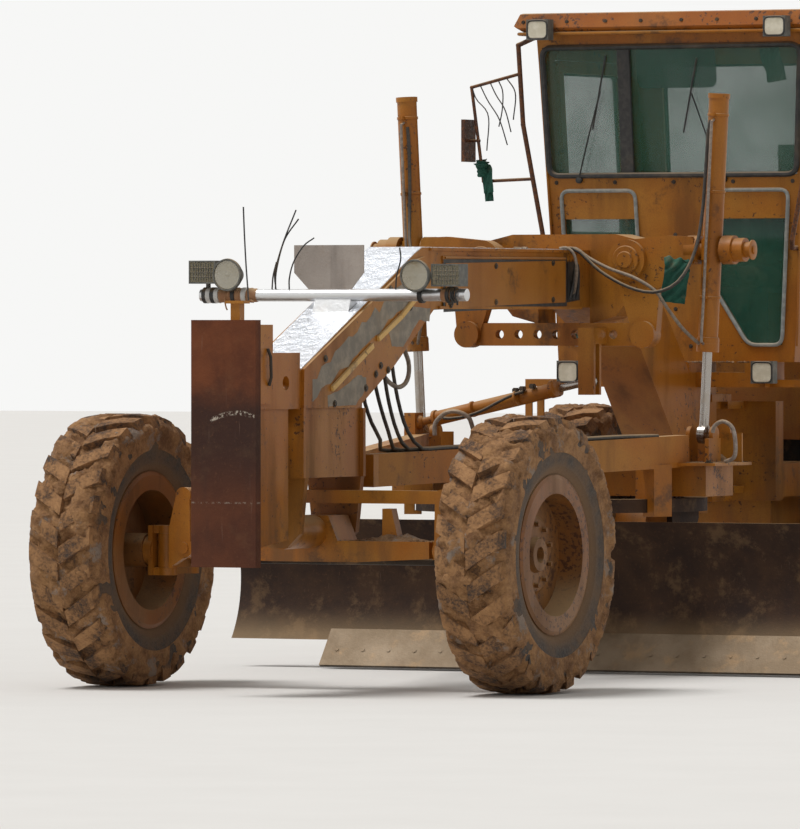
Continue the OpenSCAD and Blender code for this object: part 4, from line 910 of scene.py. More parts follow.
UPPER_PATCH = ((679, 1906), (880, 1896), (868, 1826), (751, 1838), (572, 1704), (446, 1704),
               (407, 1780), (549, 1838))
LOWER_PATCH = ((67, 1565), (158, 1549), (158, 1490), (44, 1416), (-262, 1412), (-267, 1463),
               (-83, 1503))
SMEAR_START = (-430, 1508)
SMEAR_STEPS = 25
NOSE_SLOPE = 0.4575
primer = Shape()
for side in BOTH:
    lower = []
    upper = []
    for k in range(SMEAR_STEPS):
        y = SMEAR_START[0] + k * 49
        rise = SMEAR_START[1] + k * 49 * NOSE_SLOPE
        ragged = noise.noise(Vector((y / 90, side, 3))) * 30
        crest = noise.noise(Vector((y / 70, side, 9))) * 44 + min(k, SMEAR_STEPS - 1 - k, 5) * 5
        lower.append((side * CHEEK, y, rise - 62 + ragged))
        upper.append((side * CHEEK, y, rise + 34 + crest))
    primer.slab(lower + upper[::-1], (side * 0.8, 0, 0))
    for outline in (UPPER_PATCH, LOWER_PATCH):
        edge = []
        for (y0, z0), (y1, z1) in zip(outline, outline[1:] + outline[:1]):
            for k in range(5):
                y = y0 + (y1 - y0) * k / 5
                z = z0 + (z1 - z0) * k / 5
                inward = 6 if z < 1420 else 14
                ragged = abs(noise.noise(Vector((y / 40, z / 40, side)))) * inward
                edge.append((side * CHEEK, y, z + ragged))
        primer.slab(edge, (side * 0.8, 0, 0))
primer.piece("primer_smears", "primer_grey", "front_frame")

bracket = Shape()
for x in (-135, 135):
    for z in (1780, 1480):
        bracket.turned((x, -876, z), FRONT, [(0, 16), (14, 16), (17, 12)], 6)
bracket.tube([(182, -940, 1700), (196, -935, 1660), (196, -930, 1560), (182, -925, 1520)], 8)
bracket.piece("bracket_fittings", "clamp_iron", "front_frame")

# %% [markdown]
# The lamp bar: a bright tube on which lamps, tape and stiff wires were fixed by hand. The
# round lamps show a reflector bowl behind clear glass, and the flat ones a ribbed glass. The
# wires that stand up are rods, stiff enough to hold their own curve, so they are not cords.

# %% Lamp bar
BAR_Y = 140
BAR_Z = 1964
BAR_RADIUS = 32


def band(shape, x, half, radius):
    """A ring of tape round the bar at x, its two edges pressed down."""
    spots = [(x + off, BAR_Y, BAR_Z) for off in (-half, 2 - half, half - 2, half)]
    shape.tube(spots, [BAR_RADIUS + 1, radius, radius, BAR_RADIUS + 1], 20)


wraps = Shape()
for x0, x1, thick in ((-735, -600, 35), (-590, -430, 36), (-600, -520, 38), (600, 690, 36)):
    steps = 14
    spots = [(x0 + (x1 - x0) * k / steps, BAR_Y, BAR_Z) for k in range(steps + 1)]
    sizes = [thick + 2.5 * math.sin(k * 1.9) for k in range(steps + 1)]
    sizes[0] = sizes[-1] = BAR_RADIUS
    wraps.tube(spots, sizes, 20)
wraps.tube([(-600, 108, 1958), (-596, 96, 1930), (-590, 100, 1900), (-586, 104, 1890)], 4, 6)
wraps.tube([(-480, 108, 1955), (-470, 98, 1940), (-448, 96, 1938), (-430, 92, 1930)], 5, 6)
wraps.piece("brown_wraps", "brown_tape", "front_frame")
pale = Shape()
for x in (-700, -655, -500):
    band(pale, x, 14, 40)
pale.piece("pale_tape", "tape_pale", "front_frame")
dark = Shape()
for x in (-722, -676, -560, 486, 640, 668):
    band(dark, x, 12, 41)
TAPE_END = ((0, 112, 1990), (8, 96, 1976), (4, 98, 1950), (14, 104, 1930), (10, 110, 1915))
for x in (640, 660, 686):
    dark.tube([(x + off, y, z) for off, y, z in TAPE_END], 5, 6)
dark.piece("dark_tape", "black_trim", "front_frame")

# %% [markdown]
# The lamps on the bar: a rim is a round bar bent to a ring, a bowl is a turned part in front of
# the housing, and the flat lamps get upright and level ribs, as cast in their glass.

# %% Lamps on the bar
bowls = Shape()
rims = Shape()
for x, z in ((-562, 2066), (488, 2060)):
    turns = [math.tau * k / 40 for k in range(40)]
    rims.tube([(x + 77 * math.cos(t), 60, z + 77 * math.sin(t)) for t in turns], 5.5, 8, closed=True)
    bowls.turned((x, 59.8, z), FRONT, [(0, 70), (5.6, 70), (5.2, 68), (3.2, 52), (1.6, 30), (1.0, 12)], 40)
    bowls.turned((x, 58.9, z), FRONT, [(0, 11), (3, 10), (5, 6)], 16)
rims.piece("lamp_rims", "lamp_grey", "front_frame")
bowls.piece("reflectors", "reflector", "front_frame")

RIB_Y = 71
ribs = Shape()
for x, z, wide, high in ((-712, 2080, 150, 116), (650, 2062, 160, 112)):
    for k in range(1, 9):
        rib = x - wide / 2 + 12 + (wide - 24) * k / 9
        ribs.tube([(rib, RIB_Y, z - high / 2 + 14), (rib, RIB_Y, z + high / 2 - 14)], 2.2, 6)
    for k in range(1, 4):
        level = z - high / 2 + 14 + (high - 28) * k / 4
        ribs.tube([(x - wide / 2 + 12, RIB_Y, level), (x + wide / 2 - 12, RIB_Y, level)], 1.8, 6)
ribs.piece("lamp_ribs", "lamp_grey", "front_frame")

# %% [markdown]
# Six stiff wires stand up from the bar and from the block's post. Each is a thin bar along a
# smooth curve, leaning where the picture shows it.

# %% Standing wires
WIRES = (((41, -872, 1930), (34, -866, 1990), (16, -850, 2109), (2, -840, 2256), (-4, -840, 2393)),
         ((-330, 140, 1992), (-335, 140, 2080), (-290, 140, 2225), (-217, 140, 2390)),
         ((-336, 146, 1992), (-330, 146, 2090), (-285, 146, 2240), (-206, 146, 2345)),
         ((-349, 134, 1992), (-343, 134, 2060), (-324, 134, 2130)),
         ((-245, 120, 1992), (-240, 112, 2050), (-215, 110, 2130), (-160, 112, 2210), (-105, 120, 2250)),
         ((345, 130, 1990), (352, 126, 2060), (372, 130, 2140), (366, 132, 2200)))
wires = Shape()
for route in WIRES:
    wires.tube(curve_through(route, 20), 4, 6)
wires.piece("standing_wires", "black_trim", "front_frame")

# %% [markdown]
# The beam's side covers are thin sheets, each with a rolled lip along its top. Round each cover a dark
# sheet is painted shade in the gap. Behind the cover's end the frame is open; a dark sheet there is
# painted shade, and hoses climb out of it. The joints of the lift gear end in turned caps of two or three
# steps.

# %% Beam covers and pin faces
covers = Shape()
shade_and_hoses = Shape()
for side in BOTH:
    x = side * 158
    covers.slab([(x, 1066, 1900), (x, 2480, 1932), (x, 2480, 2150), (x, 1066, 2128)], (side * 5, 0, 0), 1.5)
    covers.tube([(side * 160, 1060, 2156), (side * 160, 2480, 2160)], 6, 8)
    # Painted shade: a dark sheet a little larger than the cover, behind it, shows as a dark gap round it.
    shade_and_hoses.slab([(x, 1046, 1880), (x, 2500, 1914), (x, 2500, 2166), (x, 1046, 2148)], (side * 1.5, 0, 0))
    # Painted shade: a dark sheet over the frame's open end behind the cover.
    shade_and_hoses.slab([(x, 2506, 1932), (x, 2656, 1945), (x, 2640, 2120), (x, 2600, 2146), (x, 2508, 2143)],
              (side * 2.5, 0, 0))
    for k in range(3):
        climb = [(side * 162, 2530 + k * 40, 1950), (side * 172, 2545 + k * 34, 2010),
                 (side * 170, 2575 + k * 22, 2080), (side * 162, 2600 + k * 12, 2130)]
        shade_and_hoses.tube(curve_through(climb, 12), 8, 8)
covers.piece("beam_covers", "cover_yellow", "front_frame")
shade_and_hoses.piece("cover_shade_and_hoses", "black_trim", "front_frame")

ARM_CAP = [(0, 74), (10, 74), (14, 70), (14, 44), (24, 44), (27, 40), (27, 16)]
LINK_CAP = [(0, 48), (8, 48), (8, 30), (24, 30), (27, 26)]
BARREL_CAP = [(0, 52), (6, 52), (8, 48), (8, 22), (16, 22), (18, 18)]
pins = Shape()
for side, outward in SIDE_WAYS:
    pins.turned((side * 420, 2669, 2155), FRONT, ARM_CAP, 32)
    pins.turned((side * 510, 2699, 1765), FRONT, LINK_CAP, 28)
    pins.turned((side * 1096, 2770, 2205), outward, BARREL_CAP, 28)
pins.piece("pin_faces", "yellow_paint", "front_frame")

# %% [markdown]
# Hoses leave the beam at the lift gear, cross it and reach the tops and the feet of the lift
# cylinders. They are held at both ends and a little longer than the way between them, so they
# sag. A short one loops back into the frame.

# %% Hoses at the saddle
SADDLE_HOSES = [
    ("saddle_hose_a", "hose_black", 18,
     [(120, 2540, 2212), (168, 2548, 2214), (210, 2560, 2190), (330, 2560, 2090), (500, 2540, 2010),
      (650, 2535, 1985), (770, 2560, 2040), (826, 2640, 2190), (846, 2690, 2380), (858, 2708, 2600),
      (868, 2716, 2800), (880, 2722, 2880)]),
    ("saddle_hose_b", "hose_grey", 18,
     [(110, 2580, 2214), (170, 2590, 2212), (240, 2592, 2166), (360, 2585, 2110), (520, 2560, 2060),
      (640, 2560, 1990), (700, 2580, 1900), (760, 2630, 1800), (800, 2690, 1740), (818, 2722, 1716)]),
    ("saddle_hose_c", "hose_grey", 16,
     [(118, 2500, 2214), (160, 2498, 2216), (200, 2498, 2184), (214, 2506, 2110), (192, 2536, 2025),
      (150, 2590, 1960)]),
    ("saddle_hose_d", "hose_black", 18,
     [(-120, 2540, 2212), (-168, 2548, 2214), (-230, 2560, 2180), (-380, 2560, 2120), (-560, 2545, 2090),
      (-700, 2545, 2120), (-800, 2600, 2220), (-846, 2680, 2380), (-858, 2706, 2560), (-868, 2716, 2760),
      (-880, 2722, 2860)]),
    ("saddle_hose_e", "hose_grey", 18,
     [(-110, 2580, 2214), (-170, 2590, 2208), (-250, 2592, 2140), (-420, 2570, 2060), (-600, 2560, 1990),
      (-700, 2580, 1900), (-760, 2640, 1800), (-800, 2694, 1740), (-818, 2722, 1716)]),
]
for name, finish, thick, route in SADDLE_HOSES:
    hose(name, route, thick, finish, "front_frame", 34)

# %% [markdown]
# Lift cylinders: each barrel has a heavier gland at its lower end, five bands, three of them
# with a clamp, and a steel pipe that carries oil to its top. They swing with the barrel, so they
# are pieces of the barrel's own body. The side-shift cylinder lies across the drawbar and has
# bands and clamps too. Two bent pipes stand on the drawbar.

# %% Cylinder dress
LEAN = math.radians(2.86)
BANDS = ((1676, 60, 44), (1740, 57, 12), (1950, 56, 16), (2500, 56, 16), (2900, 56, 16), (3000, 57, 14))
PIPE_Y = 2688


def on_barrel(side, z):
    """The middle of a lift cylinder at height z."""
    return (side * (868 + (z - 2205) * math.tan(LEAN)), 2770, z)


def band_profile(wide, tall):
    """The steps of a band round a cylinder, its edges rounded off."""
    return [(0, wide - 3), (2, wide), (tall - 2, wide), (tall, wide - 3)]


for side, word in SIDES:
    axis = (side * math.sin(LEAN), 0, math.cos(LEAN))
    bands = Shape()
    for z, wide, tall in BANDS:
        bands.turned(on_barrel(side, z), axis, band_profile(wide, tall), 28)
    for z in (1950, 2500, 2900):
        x, y, _ = on_barrel(side, z)
        bands.block((x - 12, y - 78, z), (x + 12, y - 52, z + 16), 2)
    bands.piece(f"barrel_bands_{word}", "yellow_paint", f"lift_barrel_{word}")
    pipe = Shape()
    x, y, _ = on_barrel(side, 2850)
    low_x = on_barrel(side, 1720)[0]
    route = [(low_x, 2724, 1712), (low_x, 2696, 1716), (low_x, PIPE_Y, 1760),
             (low_x + side * 12, PIPE_Y, 1950), (x - side * 14, PIPE_Y, 2550), (x, PIPE_Y, 2840),
             (x, 2696, 2880), (x, 2724, 2884)]
    pipe.tube(curve_through(route, 30), 8, 10)
    pipe.piece(f"barrel_pipe_{word}", "pipe_steel", f"lift_barrel_{word}")

SHIFT_ROUTE = (995, -66, 220)
SHIFT_AXIS = Vector((995, 0, 220)).normalized()


def on_shift(far):
    """x and z on the side-shift cylinder's axis, far from its right end."""
    return -745 + SHIFT_AXIS.x * far, 1300 + SHIFT_AXIS.z * far


shift = Shape()
for far, wide, tall in ((96, 44, 20), (330, 42, 14), (600, 42, 14), (816, 46, 30)):
    x, z = on_shift(far)
    shift.turned((x, 2586 - 66 * far / 1019, z), SHIFT_ROUTE, band_profile(wide, tall), 28)
shift.piece("shift_bands", "yellow_paint", "shift_barrel")
lumps = Shape()
for far in (600, 640, 700):
    x, z = on_shift(far)
    lumps.block((x - 16, 2530, z + 30), (x + 16, 2562, z + 56), 5)
lumps.piece("shift_clamps", "clamp_iron", "shift_barrel")
route = [(-575, 2534, 1326), (-530, 2518, 1324), (-440, 2510, 1334), (-340, 2508, 1364), (-250, 2510, 1408),
         (-170, 2520, 1446), (-110, 2532, 1466)]
hose("shift_hose", route, 16, "hose_black", "shift_barrel", 24)

hoops = Shape()
for thick, count, route in (
        (12, 40, [(-560, 2400, 1236), (-556, 2400, 1300), (-500, 2402, 1352), (-440, 2410, 1362),
                  (-384, 2430, 1336), (-372, 2460, 1290), (-372, 2540, 1150), (-372, 2560, 1100)]),
        (11, 34, [(922, 2660, 1256), (936, 2656, 1292), (984, 2656, 1314), (1034, 2660, 1280),
                  (1050, 2662, 1200), (1040, 2668, 1130), (984, 2680, 1104)])):
    hoops.tube(curve_through(route, count), thick, 10)
hoops.piece("bent_pipes", "pipe_steel", "drawbar")

# %% [markdown]
# The cab: every pane sits in a thick rubber gasket, dark round the windscreen and pale round
# the lower panes, and a dark post splits the windscreen. A gasket is a tube that follows the
# pane's own corners, rounded off, on the wall's plane. The front wall leans forward above the
# sill and the side walls lean out, so two small functions put a flat outline on each wall.

# %% Gaskets and posts
FRONT_LEAN = math.radians(4)
SIDE_LEAN = math.radians(3.05)
SILL_Z = 2243


def front_wall(x, z, out=0):
    return (x, 4200 - max(z - SILL_Z, 0) * math.tan(FRONT_LEAN) - out, z)


def side_wall(side, y, z, out=0):
    """z counts up from the cab's floor line, as the door's own sizes do."""
    return (side * (700 + out * math.cos(SIDE_LEAN) + z * math.sin(SIDE_LEAN)), y,
            1615 - out * math.sin(SIDE_LEAN) + z * math.cos(SIDE_LEAN))


def rounded(outline, corner, steps=5):
    """A flat outline with its corners rounded off."""
    made = []
    for before, here, after in zip(outline[-1:] + outline[:-1], outline, outline[1:] + outline[:1]):
        a, b, c = Vector(before), Vector(here), Vector(after)
        first = b + (a - b).normalized() * corner
        last = b + (c - b).normalized() * corner
        for k in range(steps + 1):
            t = k / steps
            made.append(tuple(first.lerp(b, t).lerp(b.lerp(last, t), t)))
    return made


SCREEN = [(-763, 3315), (-739, 2622), (727, 2622), (767, 3315)]
LOW_PANE = [(233, 2540), (674, 2540), (628, 1707), (429, 1707), (210, 2040)]
REAR_PANE = [(-560, 2350), (560, 2350), (600, 3250), (-600, 3250)]
REAR_GLASS_Y = 5352
DOOR_PANES = ([(4360, 700), (5090, 700), (5090, 1570), (4345, 1570)],
              [(4380, 270), (4470, 160), (5090, 160), (5090, 620), (4370, 620)])
POST = ((-312, 2630), (-236, 2630), (-244, 3306), (-320, 3306))
dark_gaskets = Shape()
dark_gaskets.tube([front_wall(x, z, 4) for x, z in rounded(SCREEN, 60)], 16, 8, closed=True)
dark_gaskets.tube([(x, REAR_GLASS_Y, z) for x, z in rounded(REAR_PANE, 60)], 13, 8, closed=True)
dark_gaskets.slab([front_wall(x, z, -14) for x, z in POST], (0, -14, 0), 3)
dark_gaskets.piece("windscreen_gasket", "black_trim", "front_frame")
pale_gaskets = Shape()
for side in BOTH:
    pale_gaskets.tube([front_wall(side * x, z, 3) for x, z in rounded(LOW_PANE, 50)], 11, 8, closed=True)
pale_gaskets.piece("lower_gaskets", "gasket_grey", "front_frame")
for side, word in SIDES:
    door = Shape()
    for pane in DOOR_PANES:
        door.tube([side_wall(side, y, z, 3) for y, z in rounded(pane, 50)], 10, 8, closed=True)
    door.piece(f"door_gaskets_{word}", "gasket_grey", f"door_{word}")

# %% [markdown]
# Two wipers stand on the sill and lean inwards. Weld seams run up the cab's corners, across
# under the windscreen and round the roof's edge, and bolts hold the panels and the gutter.

# %% Wipers, seams and bolts of the cab
wiper = Shape()
for foot, tip in (((-560, 2598), (-420, 3080)), ((300, 2598), (120, 3060))):
    elbow = ((foot[0] + tip[0]) / 2, (foot[1] + tip[1]) / 2)
    wiper.turned(front_wall(*foot, 1), FRONT, [(0, 18), (16, 18), (20, 12)], 16)
    wiper.tube([front_wall(*foot, 16), front_wall(*elbow, 18), front_wall(*tip, 2)], 4.5, 8)
    wiper.tube([front_wall(tip[0] - 60, tip[1] - 210, -12), front_wall(tip[0] + 30, tip[1] + 190, -12)],
               5, 6)
wiper.piece("wipers", "black_trim", "front_frame")

GUTTER = [(-862, 4012), (862, 4012), (862, 5398), (-862, 5398)]
seams = Shape()
for side in BOTH:
    seams.tube([(side * 716, 4196, 1700), (side * 734, 4192, 2240), (side * 788, 4128, 3380)], 7, 8)
    seams.tube([(side * 712, 5354, 1640), (side * 790, 5354, 3380)], 8, 8)
seams.tube([(-730, 4194, 2580), (730, 4194, 2580)], 6, 8)
seams.tube([(x, y, 3388) for x, y in rounded(GUTTER, 40)], 9, 8, closed=True)
seams.piece("cab_seams", "yellow_paint", "front_frame")

PANEL_BOLTS = ((-700, 2585), (-350, 2585), (0, 2585), (350, 2585), (700, 2585), (0, 2300), (0, 1900),
               (-90, 1700), (90, 1700))
cab_bolts = [front_wall(x, z) + (FRONT,) for x, z in PANEL_BOLTS]
cab_bolts += [(x, y, 3389, DOWN) for x in (-860, 860) for y in range(4100, 5400, 200)]
cab_bolts += [(side * x, 4010, 3450, FRONT) for side in BOTH for x in (120, 330, 560, 820)]
cab_bolts += [(side * x, 5411, 3450, BACK) for side in BOTH for x in (120, 400, 700)]
bolt_on("cab_bolts", "front_frame", cab_bolts, 8, 4)

# %% [markdown]
# Each square lamp on the cab has a cream face with round corners and a black rubber rim. A
# smoked sun visor hangs from the roof behind the windscreen, and the console carries eight
# lever knobs and the steering wheel's cap.

# %% Lamps, visor and knobs of the cab
lamp_faces = Shape()
lamp_trims = Shape()
for middle, front, z, wide, high in ((700, 3931.6, 3408, 130, 110), (575, 4051.9, 1561, 130, 120)):
    for side in BOTH:
        for inset, round_by in ((11, 26), (6, 30)):
            w = wide / 2 - inset
            h = high / 2 - inset
            square = rounded([(-w, -h), (w, -h), (w, h), (-w, h)], round_by)
            edge = [(side * middle + a, front, z + b) for a, b in square]
            if inset == 11:
                lamp_faces.slab(edge, (0, -1.6, 0))
            else:
                lamp_trims.tube(edge, 6, 8, closed=True)
lamp_faces.piece("cab_lamp_faces", "lamp_cream", "front_frame")
lamp_trims.piece("cab_lamp_rims", "black_trim", "front_frame")

VISOR = [(-235, 3092), (235, 3092), (228, 3318), (-240, 3322)]
visor = Shape()
visor.slab([front_wall(x, z, -75) for x, z in rounded(VISOR, 50)], (0, 6, 0))
for x in (-180, 180):
    visor.tube([(x, 4205, 3290), (x, 4205, 3350), (x, 4203, 3392)], 5, 6)
visor.piece("sun_visor", "visor_film", "front_frame")

KNOB = [(0, 6), (4, 13), (16, 17), (30, 14), (38, 7)]
COLUMN_WAY = (0, -0.574, 0.819)
knobs = Shape()
for side in BOTH:
    for k in range(4):
        knobs.turned((side * (220 + k * 30), 4390, 2588), UP, KNOB, 16)
knobs.turned((0, 4580, 2500), COLUMN_WAY, [(0, 34), (16, 34), (24, 26), (27, 10)], 24)
knobs.piece("lever_knobs", "black_trim", "front_frame")

# %% [markdown]
# Strips of green cloth are tied round the mirror frame and the left cylinder's fork, one hangs
# behind the windscreen, and the mirror's loop carries a fringe of stiff black ties. A strip is a
# row of small folds carried along a path, which winds round the tube and ends in a free tail. A
# thin second face closes it, and the size it was cut to is printed.


# %% Cloth and ties
HALF_THICK = 0.6
WINDING_STEPS = 12


def strip(name, spots, wide, across, count=70, gather=2):
    """A strip of cloth along the spots, its width in the direction across, folded by gather mm."""
    path = [Vector(spot) for spot in curve_through(spots, count)]
    side = Vector(across).normalized()
    shape = Shape()
    rings = []
    for k, middle in enumerate(path):
        along = (path[min(k + 1, count - 1)] - path[max(k - 1, 0)]).normalized()
        side = (side - along * side.dot(along)).normalized()
        half = side * wide / 2
        crumple = along.cross(side)
        face = crumple * HALF_THICK
        ring = []
        for step in range(17):
            share = step / 8 - 1
            wave = gather * math.sin(share * 7 + k * 0.35 + math.sin(k * 0.21))
            ring.append(half * share + crumple * wave)
        spread = wide / sum((b - a).length for a, b in zip(ring, ring[1:]))
        ring = [middle + p * spread for p in ring]
        rings.append([shape.mesh.verts.new(at(*(p + face))) for p in ring]
                     + [shape.mesh.verts.new(at(*(p - face))) for p in ring[::-1]])
    shape.skin(rings)
    made = shape.piece(name, "green_cloth", "front_frame", crease=80)
    length = sum((b - a).length for a, b in zip(path, path[1:])) / 1000
    print(name, "cut to m:", wide / 1000, round(length, 3))


def wound(middle, radius, turns, drop):
    """A winding round an upright tube, opening a little with each turn, and a hanging end."""
    x, y, z = middle
    spots = []
    for k in range(turns * WINDING_STEPS + 1):
        turn = math.tau * k / WINDING_STEPS
        reach = radius + k * 0.45
        spots.append((x + reach * math.cos(turn), y + reach * math.sin(turn), z - k * 1.2))
    x, y, z = spots[-1]
    return spots + [(x + 10, y - 16, z - drop * 0.4), (x + 22, y - 24, z - drop)]


strip("mirror_cloth", wound((-1108, 4090, 2690), 20, 2, 130), 60, (0.15, 0, 1))
strip("mirror_cloth_end", wound((-1104, 4090, 2650), 26, 1, 150), 50, (-0.2, 0, 1))
strip("fork_cloth", [(722, 2660, 2090), (726, 2640, 2140), (734, 2618, 2160), (742, 2606, 2100),
                     (730, 2602, 2010), (716, 2606, 1930)], 150, (1, 0.1, 0), 70, 9)
strip("cab_cloth", [(560, 4184, 3300), (566, 4188, 3240), (590, 4192, 3180), (600, 4194, 3120)], 120,
      (1, 0, 0.2), 30, 5)

TIES = (((-1168, 4090, 3106), (-1140, 4086, 3040), (-1066, 4082, 2950), (-1074, 4080, 2760)),
        ((-1120, 4090, 3118), (-1070, 4086, 3030), (-1000, 4082, 2930), (-950, 4080, 2790)),
        ((-1060, 4090, 3132), (-1020, 4086, 3060), (-965, 4082, 2980), (-928, 4080, 2860)),
        ((-1010, 4090, 3142), (-985, 4094, 3080), (-990, 4098, 2980), (-1010, 4098, 2890)),
        ((-960, 4090, 3154), (-905, 4086, 3070), (-915, 4082, 2926)))
ties = Shape()
for route in TIES:
    ties.tube(curve_through(route, 14), 3.6, 6)
ties.piece("mirror_ties", "black_trim", "front_frame")

# %% [markdown]
# The engine's side doors have hooded louvres, pressed out of the sheet in rows. A second tree
# repeats one lip up the door: it puts the mesh it is given on every point of an upright line.

# %% Hooded louvres
slat_tree, add, slat_names = make_tree("louvre hoods", [("Pitch", NUMBER), ("Rows", WHOLE), FINISH_INPUT])
source = add("NodeGroupInput")
step = add("ShaderNodeCombineXYZ", None, {"Z": source.outputs["Pitch"]})
row = add("GeometryNodeMeshLine", {"mode": "OFFSET"},
          {"Count": source.outputs["Rows"], "Offset": step.outputs[0]})
rows = add("GeometryNodeInstanceOnPoints", None,
           {"Points": row.outputs[0], "Instance": source.outputs[0]})
finish_tree(add, source, rows.outputs[0])

LOUVRE_ROWS = 9
LOUVRE_PITCH = 0.052
LOUVRE_LENGTH = 460
for y0, word in ((5910, "fore"), (6730, "aft")):
    y1 = y0 + LOUVRE_LENGTH
    for side, hand in SIDES:
        lip = Shape()
        x = side * 450
        outer = side * 466
        lip.slab([(x, y0 - 6, 1358), (outer, y0 - 2, 1334), (outer, y1 + 2, 1334), (x, y1 + 6, 1358)],
                 (0, 0, 3))
        for inner_y, outer_y in ((y0 - 6, y0 - 2), (y1 + 2, y1 - 2)):
            lip.slab([(x, inner_y, 1358), (outer, outer_y, 1337), (x, inner_y, 1334)], (0, 4, 0))
        bmesh.ops.recalc_face_normals(lip.mesh, faces=lip.mesh.faces)
        carrier = bpy.data.meshes.new("lip")
        lip.mesh.to_mesh(carrier)
        lip.mesh.free()
        grow(f"louvres_{word}_{hand}", slat_tree, slat_names, carrier, "yellow_paint", "rear_frame",
             Pitch=LOUVRE_PITCH, Rows=LOUVRE_ROWS)

# %% [markdown]
# A guard of crossed wires covers the radiator. The third tree makes both directions with one
# loop: a line of points as long as the guard is wide, a rod on each, then the same turned round.

# %% Radiator guard
GRID_INPUTS = [("Wide", NUMBER), ("High", NUMBER), ("Gap", NUMBER), ("Thick", NUMBER), FINISH_INPUT]
grid_tree, add, grid_names = make_tree("wire guard", GRID_INPUTS)
source = add("NodeGroupInput")
gap = source.outputs["Gap"]
wires_made = add("GeometryNodeJoinGeometry")
for run, cross, axis in (("Wide", "High", "X"), ("High", "Wide", "Z")):
    half = add("ShaderNodeMath", {"operation": "DIVIDE"}, {0: source.outputs[run], 1: 2.0})
    negative = add("ShaderNodeMath", {"operation": "MULTIPLY"}, {0: half.outputs[0], 1: -1.0})
    count = add("ShaderNodeMath", {"operation": "DIVIDE"}, {0: source.outputs[run], 1: gap})
    first = add("ShaderNodeCombineXYZ", None, {axis: negative.outputs[0]})
    apart = add("ShaderNodeCombineXYZ", None, {axis: gap})
    line = add("GeometryNodeMeshLine", {"mode": "OFFSET"},
               {"Count": count.outputs[0], "Start Location": first.outputs[0], "Offset": apart.outputs[0]})
    rod = add("GeometryNodeMeshCylinder", None,
              {"Vertices": 6, "Radius": source.outputs["Thick"], "Depth": source.outputs[cross]})
    tilt = 0 if axis == "X" else math.pi / 2
    laid = add("GeometryNodeTransform", None, {"Geometry": rod.outputs["Mesh"], "Rotation": (0, tilt, 0)})
    rods = add("GeometryNodeInstanceOnPoints", None,
               {"Points": line.outputs[0], "Instance": laid.outputs[0]})
    grid_tree.links.new(rods.outputs[0], wires_made.inputs[0])
foot = add("GeometryNodeInstanceOnPoints", None,
           {"Points": source.outputs[0], "Instance": wires_made.outputs[0]})
finish_tree(add, source, foot.outputs[0])
grow("radiator_guard", grid_tree, grid_names, feet([(0, 7446, 1455, BACK)]), "grille_black", "rear_frame",
     Wide=0.80, High=0.47, Gap=0.022, Thick=0.0016)

# %% [markdown]
# Each side door of the hood has a raised rim, two hinges, and a latch with a bent handle. The
# rest of the rear is turned: tail lamps, the filler cap, and the clamps of the exhaust and the
# air cleaner.

# %% Doors, lamps and caps of the rear
doors = Shape()
latches = Shape()
for side in BOTH:
    x = side * 451
    for y0, y1 in ((5700, 6540), (6570, 7400)):
        panel = [(y0, 1230), (y1, 1230), (y1, 1860), (y0, 1860)]
        doors.tube([(x, y, z) for y, z in rounded(panel, 30)], 5, 6, closed=True)
        latches.slab([(x, y0 + 30, 1560), (x, y0 + 110, 1560), (x, y0 + 110, 1600), (x, y0 + 30, 1600)],
                     (side * 12, 0, 0), 3)
        handle = ((10, 40), (34, 46), (34, 96), (10, 102))
        latches.tube([(x + side * out, y0 + back, 1578) for out, back in handle], 5, 8)
        for z in (1330, 1780):
            latches.tube([(x + side * 4, y1 - 8, z - 45), (x + side * 4, y1 - 8, z + 45)], 10, 10)
doors.tube([(-430, 5660, 1990), (0, 5660, 2064), (430, 5660, 1990)], 5, 6)
doors.piece("hood_door_rims", "yellow_paint", "rear_frame")
latches.piece("hood_latches", "clamp_iron", "rear_frame")

tail = Shape()
for side in BOTH:
    tail.turned((side * 320, 7504, 1820), BACK, [(0, 53), (6, 53), (10, 46), (12, 20)], 32)
tail.piece("tail_lenses", "tail_red", "rear_frame")

CAPS = (((0, 6900, 1990), 32, [(0, 62), (20, 62), (24, 52), (40, 52), (46, 44)]),
        ((-180, 6070, 2470), 28, [(0, 56), (14, 56)]),
        ((-180, 6070, 2760), 28, [(0, 54), (18, 54)]),
        ((200, 6070, 2400), 36, [(-4, 113), (8, 113), (26, 84), (36, 30)]))
caps = Shape()
for foot, sides, profile in CAPS:
    caps.turned(foot, UP, profile, sides)
caps.piece("caps_and_clamps", "clamp_iron", "rear_frame")

# %% [markdown]
# The last bolts: on the bumper, the lamps' plate and the hood's foot, along the blade's cutting
# edge, and on the drawbar's cross box. The bolts on the edge stand square to its sloping face.

# %% Bolts behind and below
rear_bolts = [(side * x, 7610, z, BACK) for side in BOTH for x in (560, 640) for z in (780, 930, 1080)]
rear_bolts += [(side * 300, 7450, 1760, BACK) for side in BOTH]
rear_bolts += [(side * 452, y, 1200, way) for side, way in SIDE_WAYS for y in range(5720, 7400, 210)]
bolt_on("rear_bolts", "rear_frame", rear_bolts, 14, 8)
EDGE_WAY = (0, -0.788, 0.616)
edge_bolts = [(x, 2471.8, 100, EDGE_WAY) for x in range(-1170, 1800, 152)]
bolt_on("edge_bolts", "blade", edge_bolts, 11, 3, "edge_steel")
drawbar_bolts = [(side * x, y, 1100, UP) for side in BOTH for x in (220, 400, 700, 940)
                 for y in (2570, 2960)]
bolt_on("drawbar_bolts", "drawbar", drawbar_bolts, 15, 9)

# %% [markdown]
# The driver's seat is padded, so its two cushions are blown up and not only rounded. Each
# starts as a slightly small rounded block, gets an even skin of small faces, and swells for 20
# frames as cloth under pressure with no gravity. No point may move further than the cap. Sewn
# channels are pressed in afterwards, because remeshing would erase them.

# %% Cushions
SKIN = 0.006
SWELL_CAP = 0.024
SWELL_FRAMES = 20
PRESSURE = 4
CHANNEL_DEPTH = 0.007
CHANNEL_WIDTH = 0.008


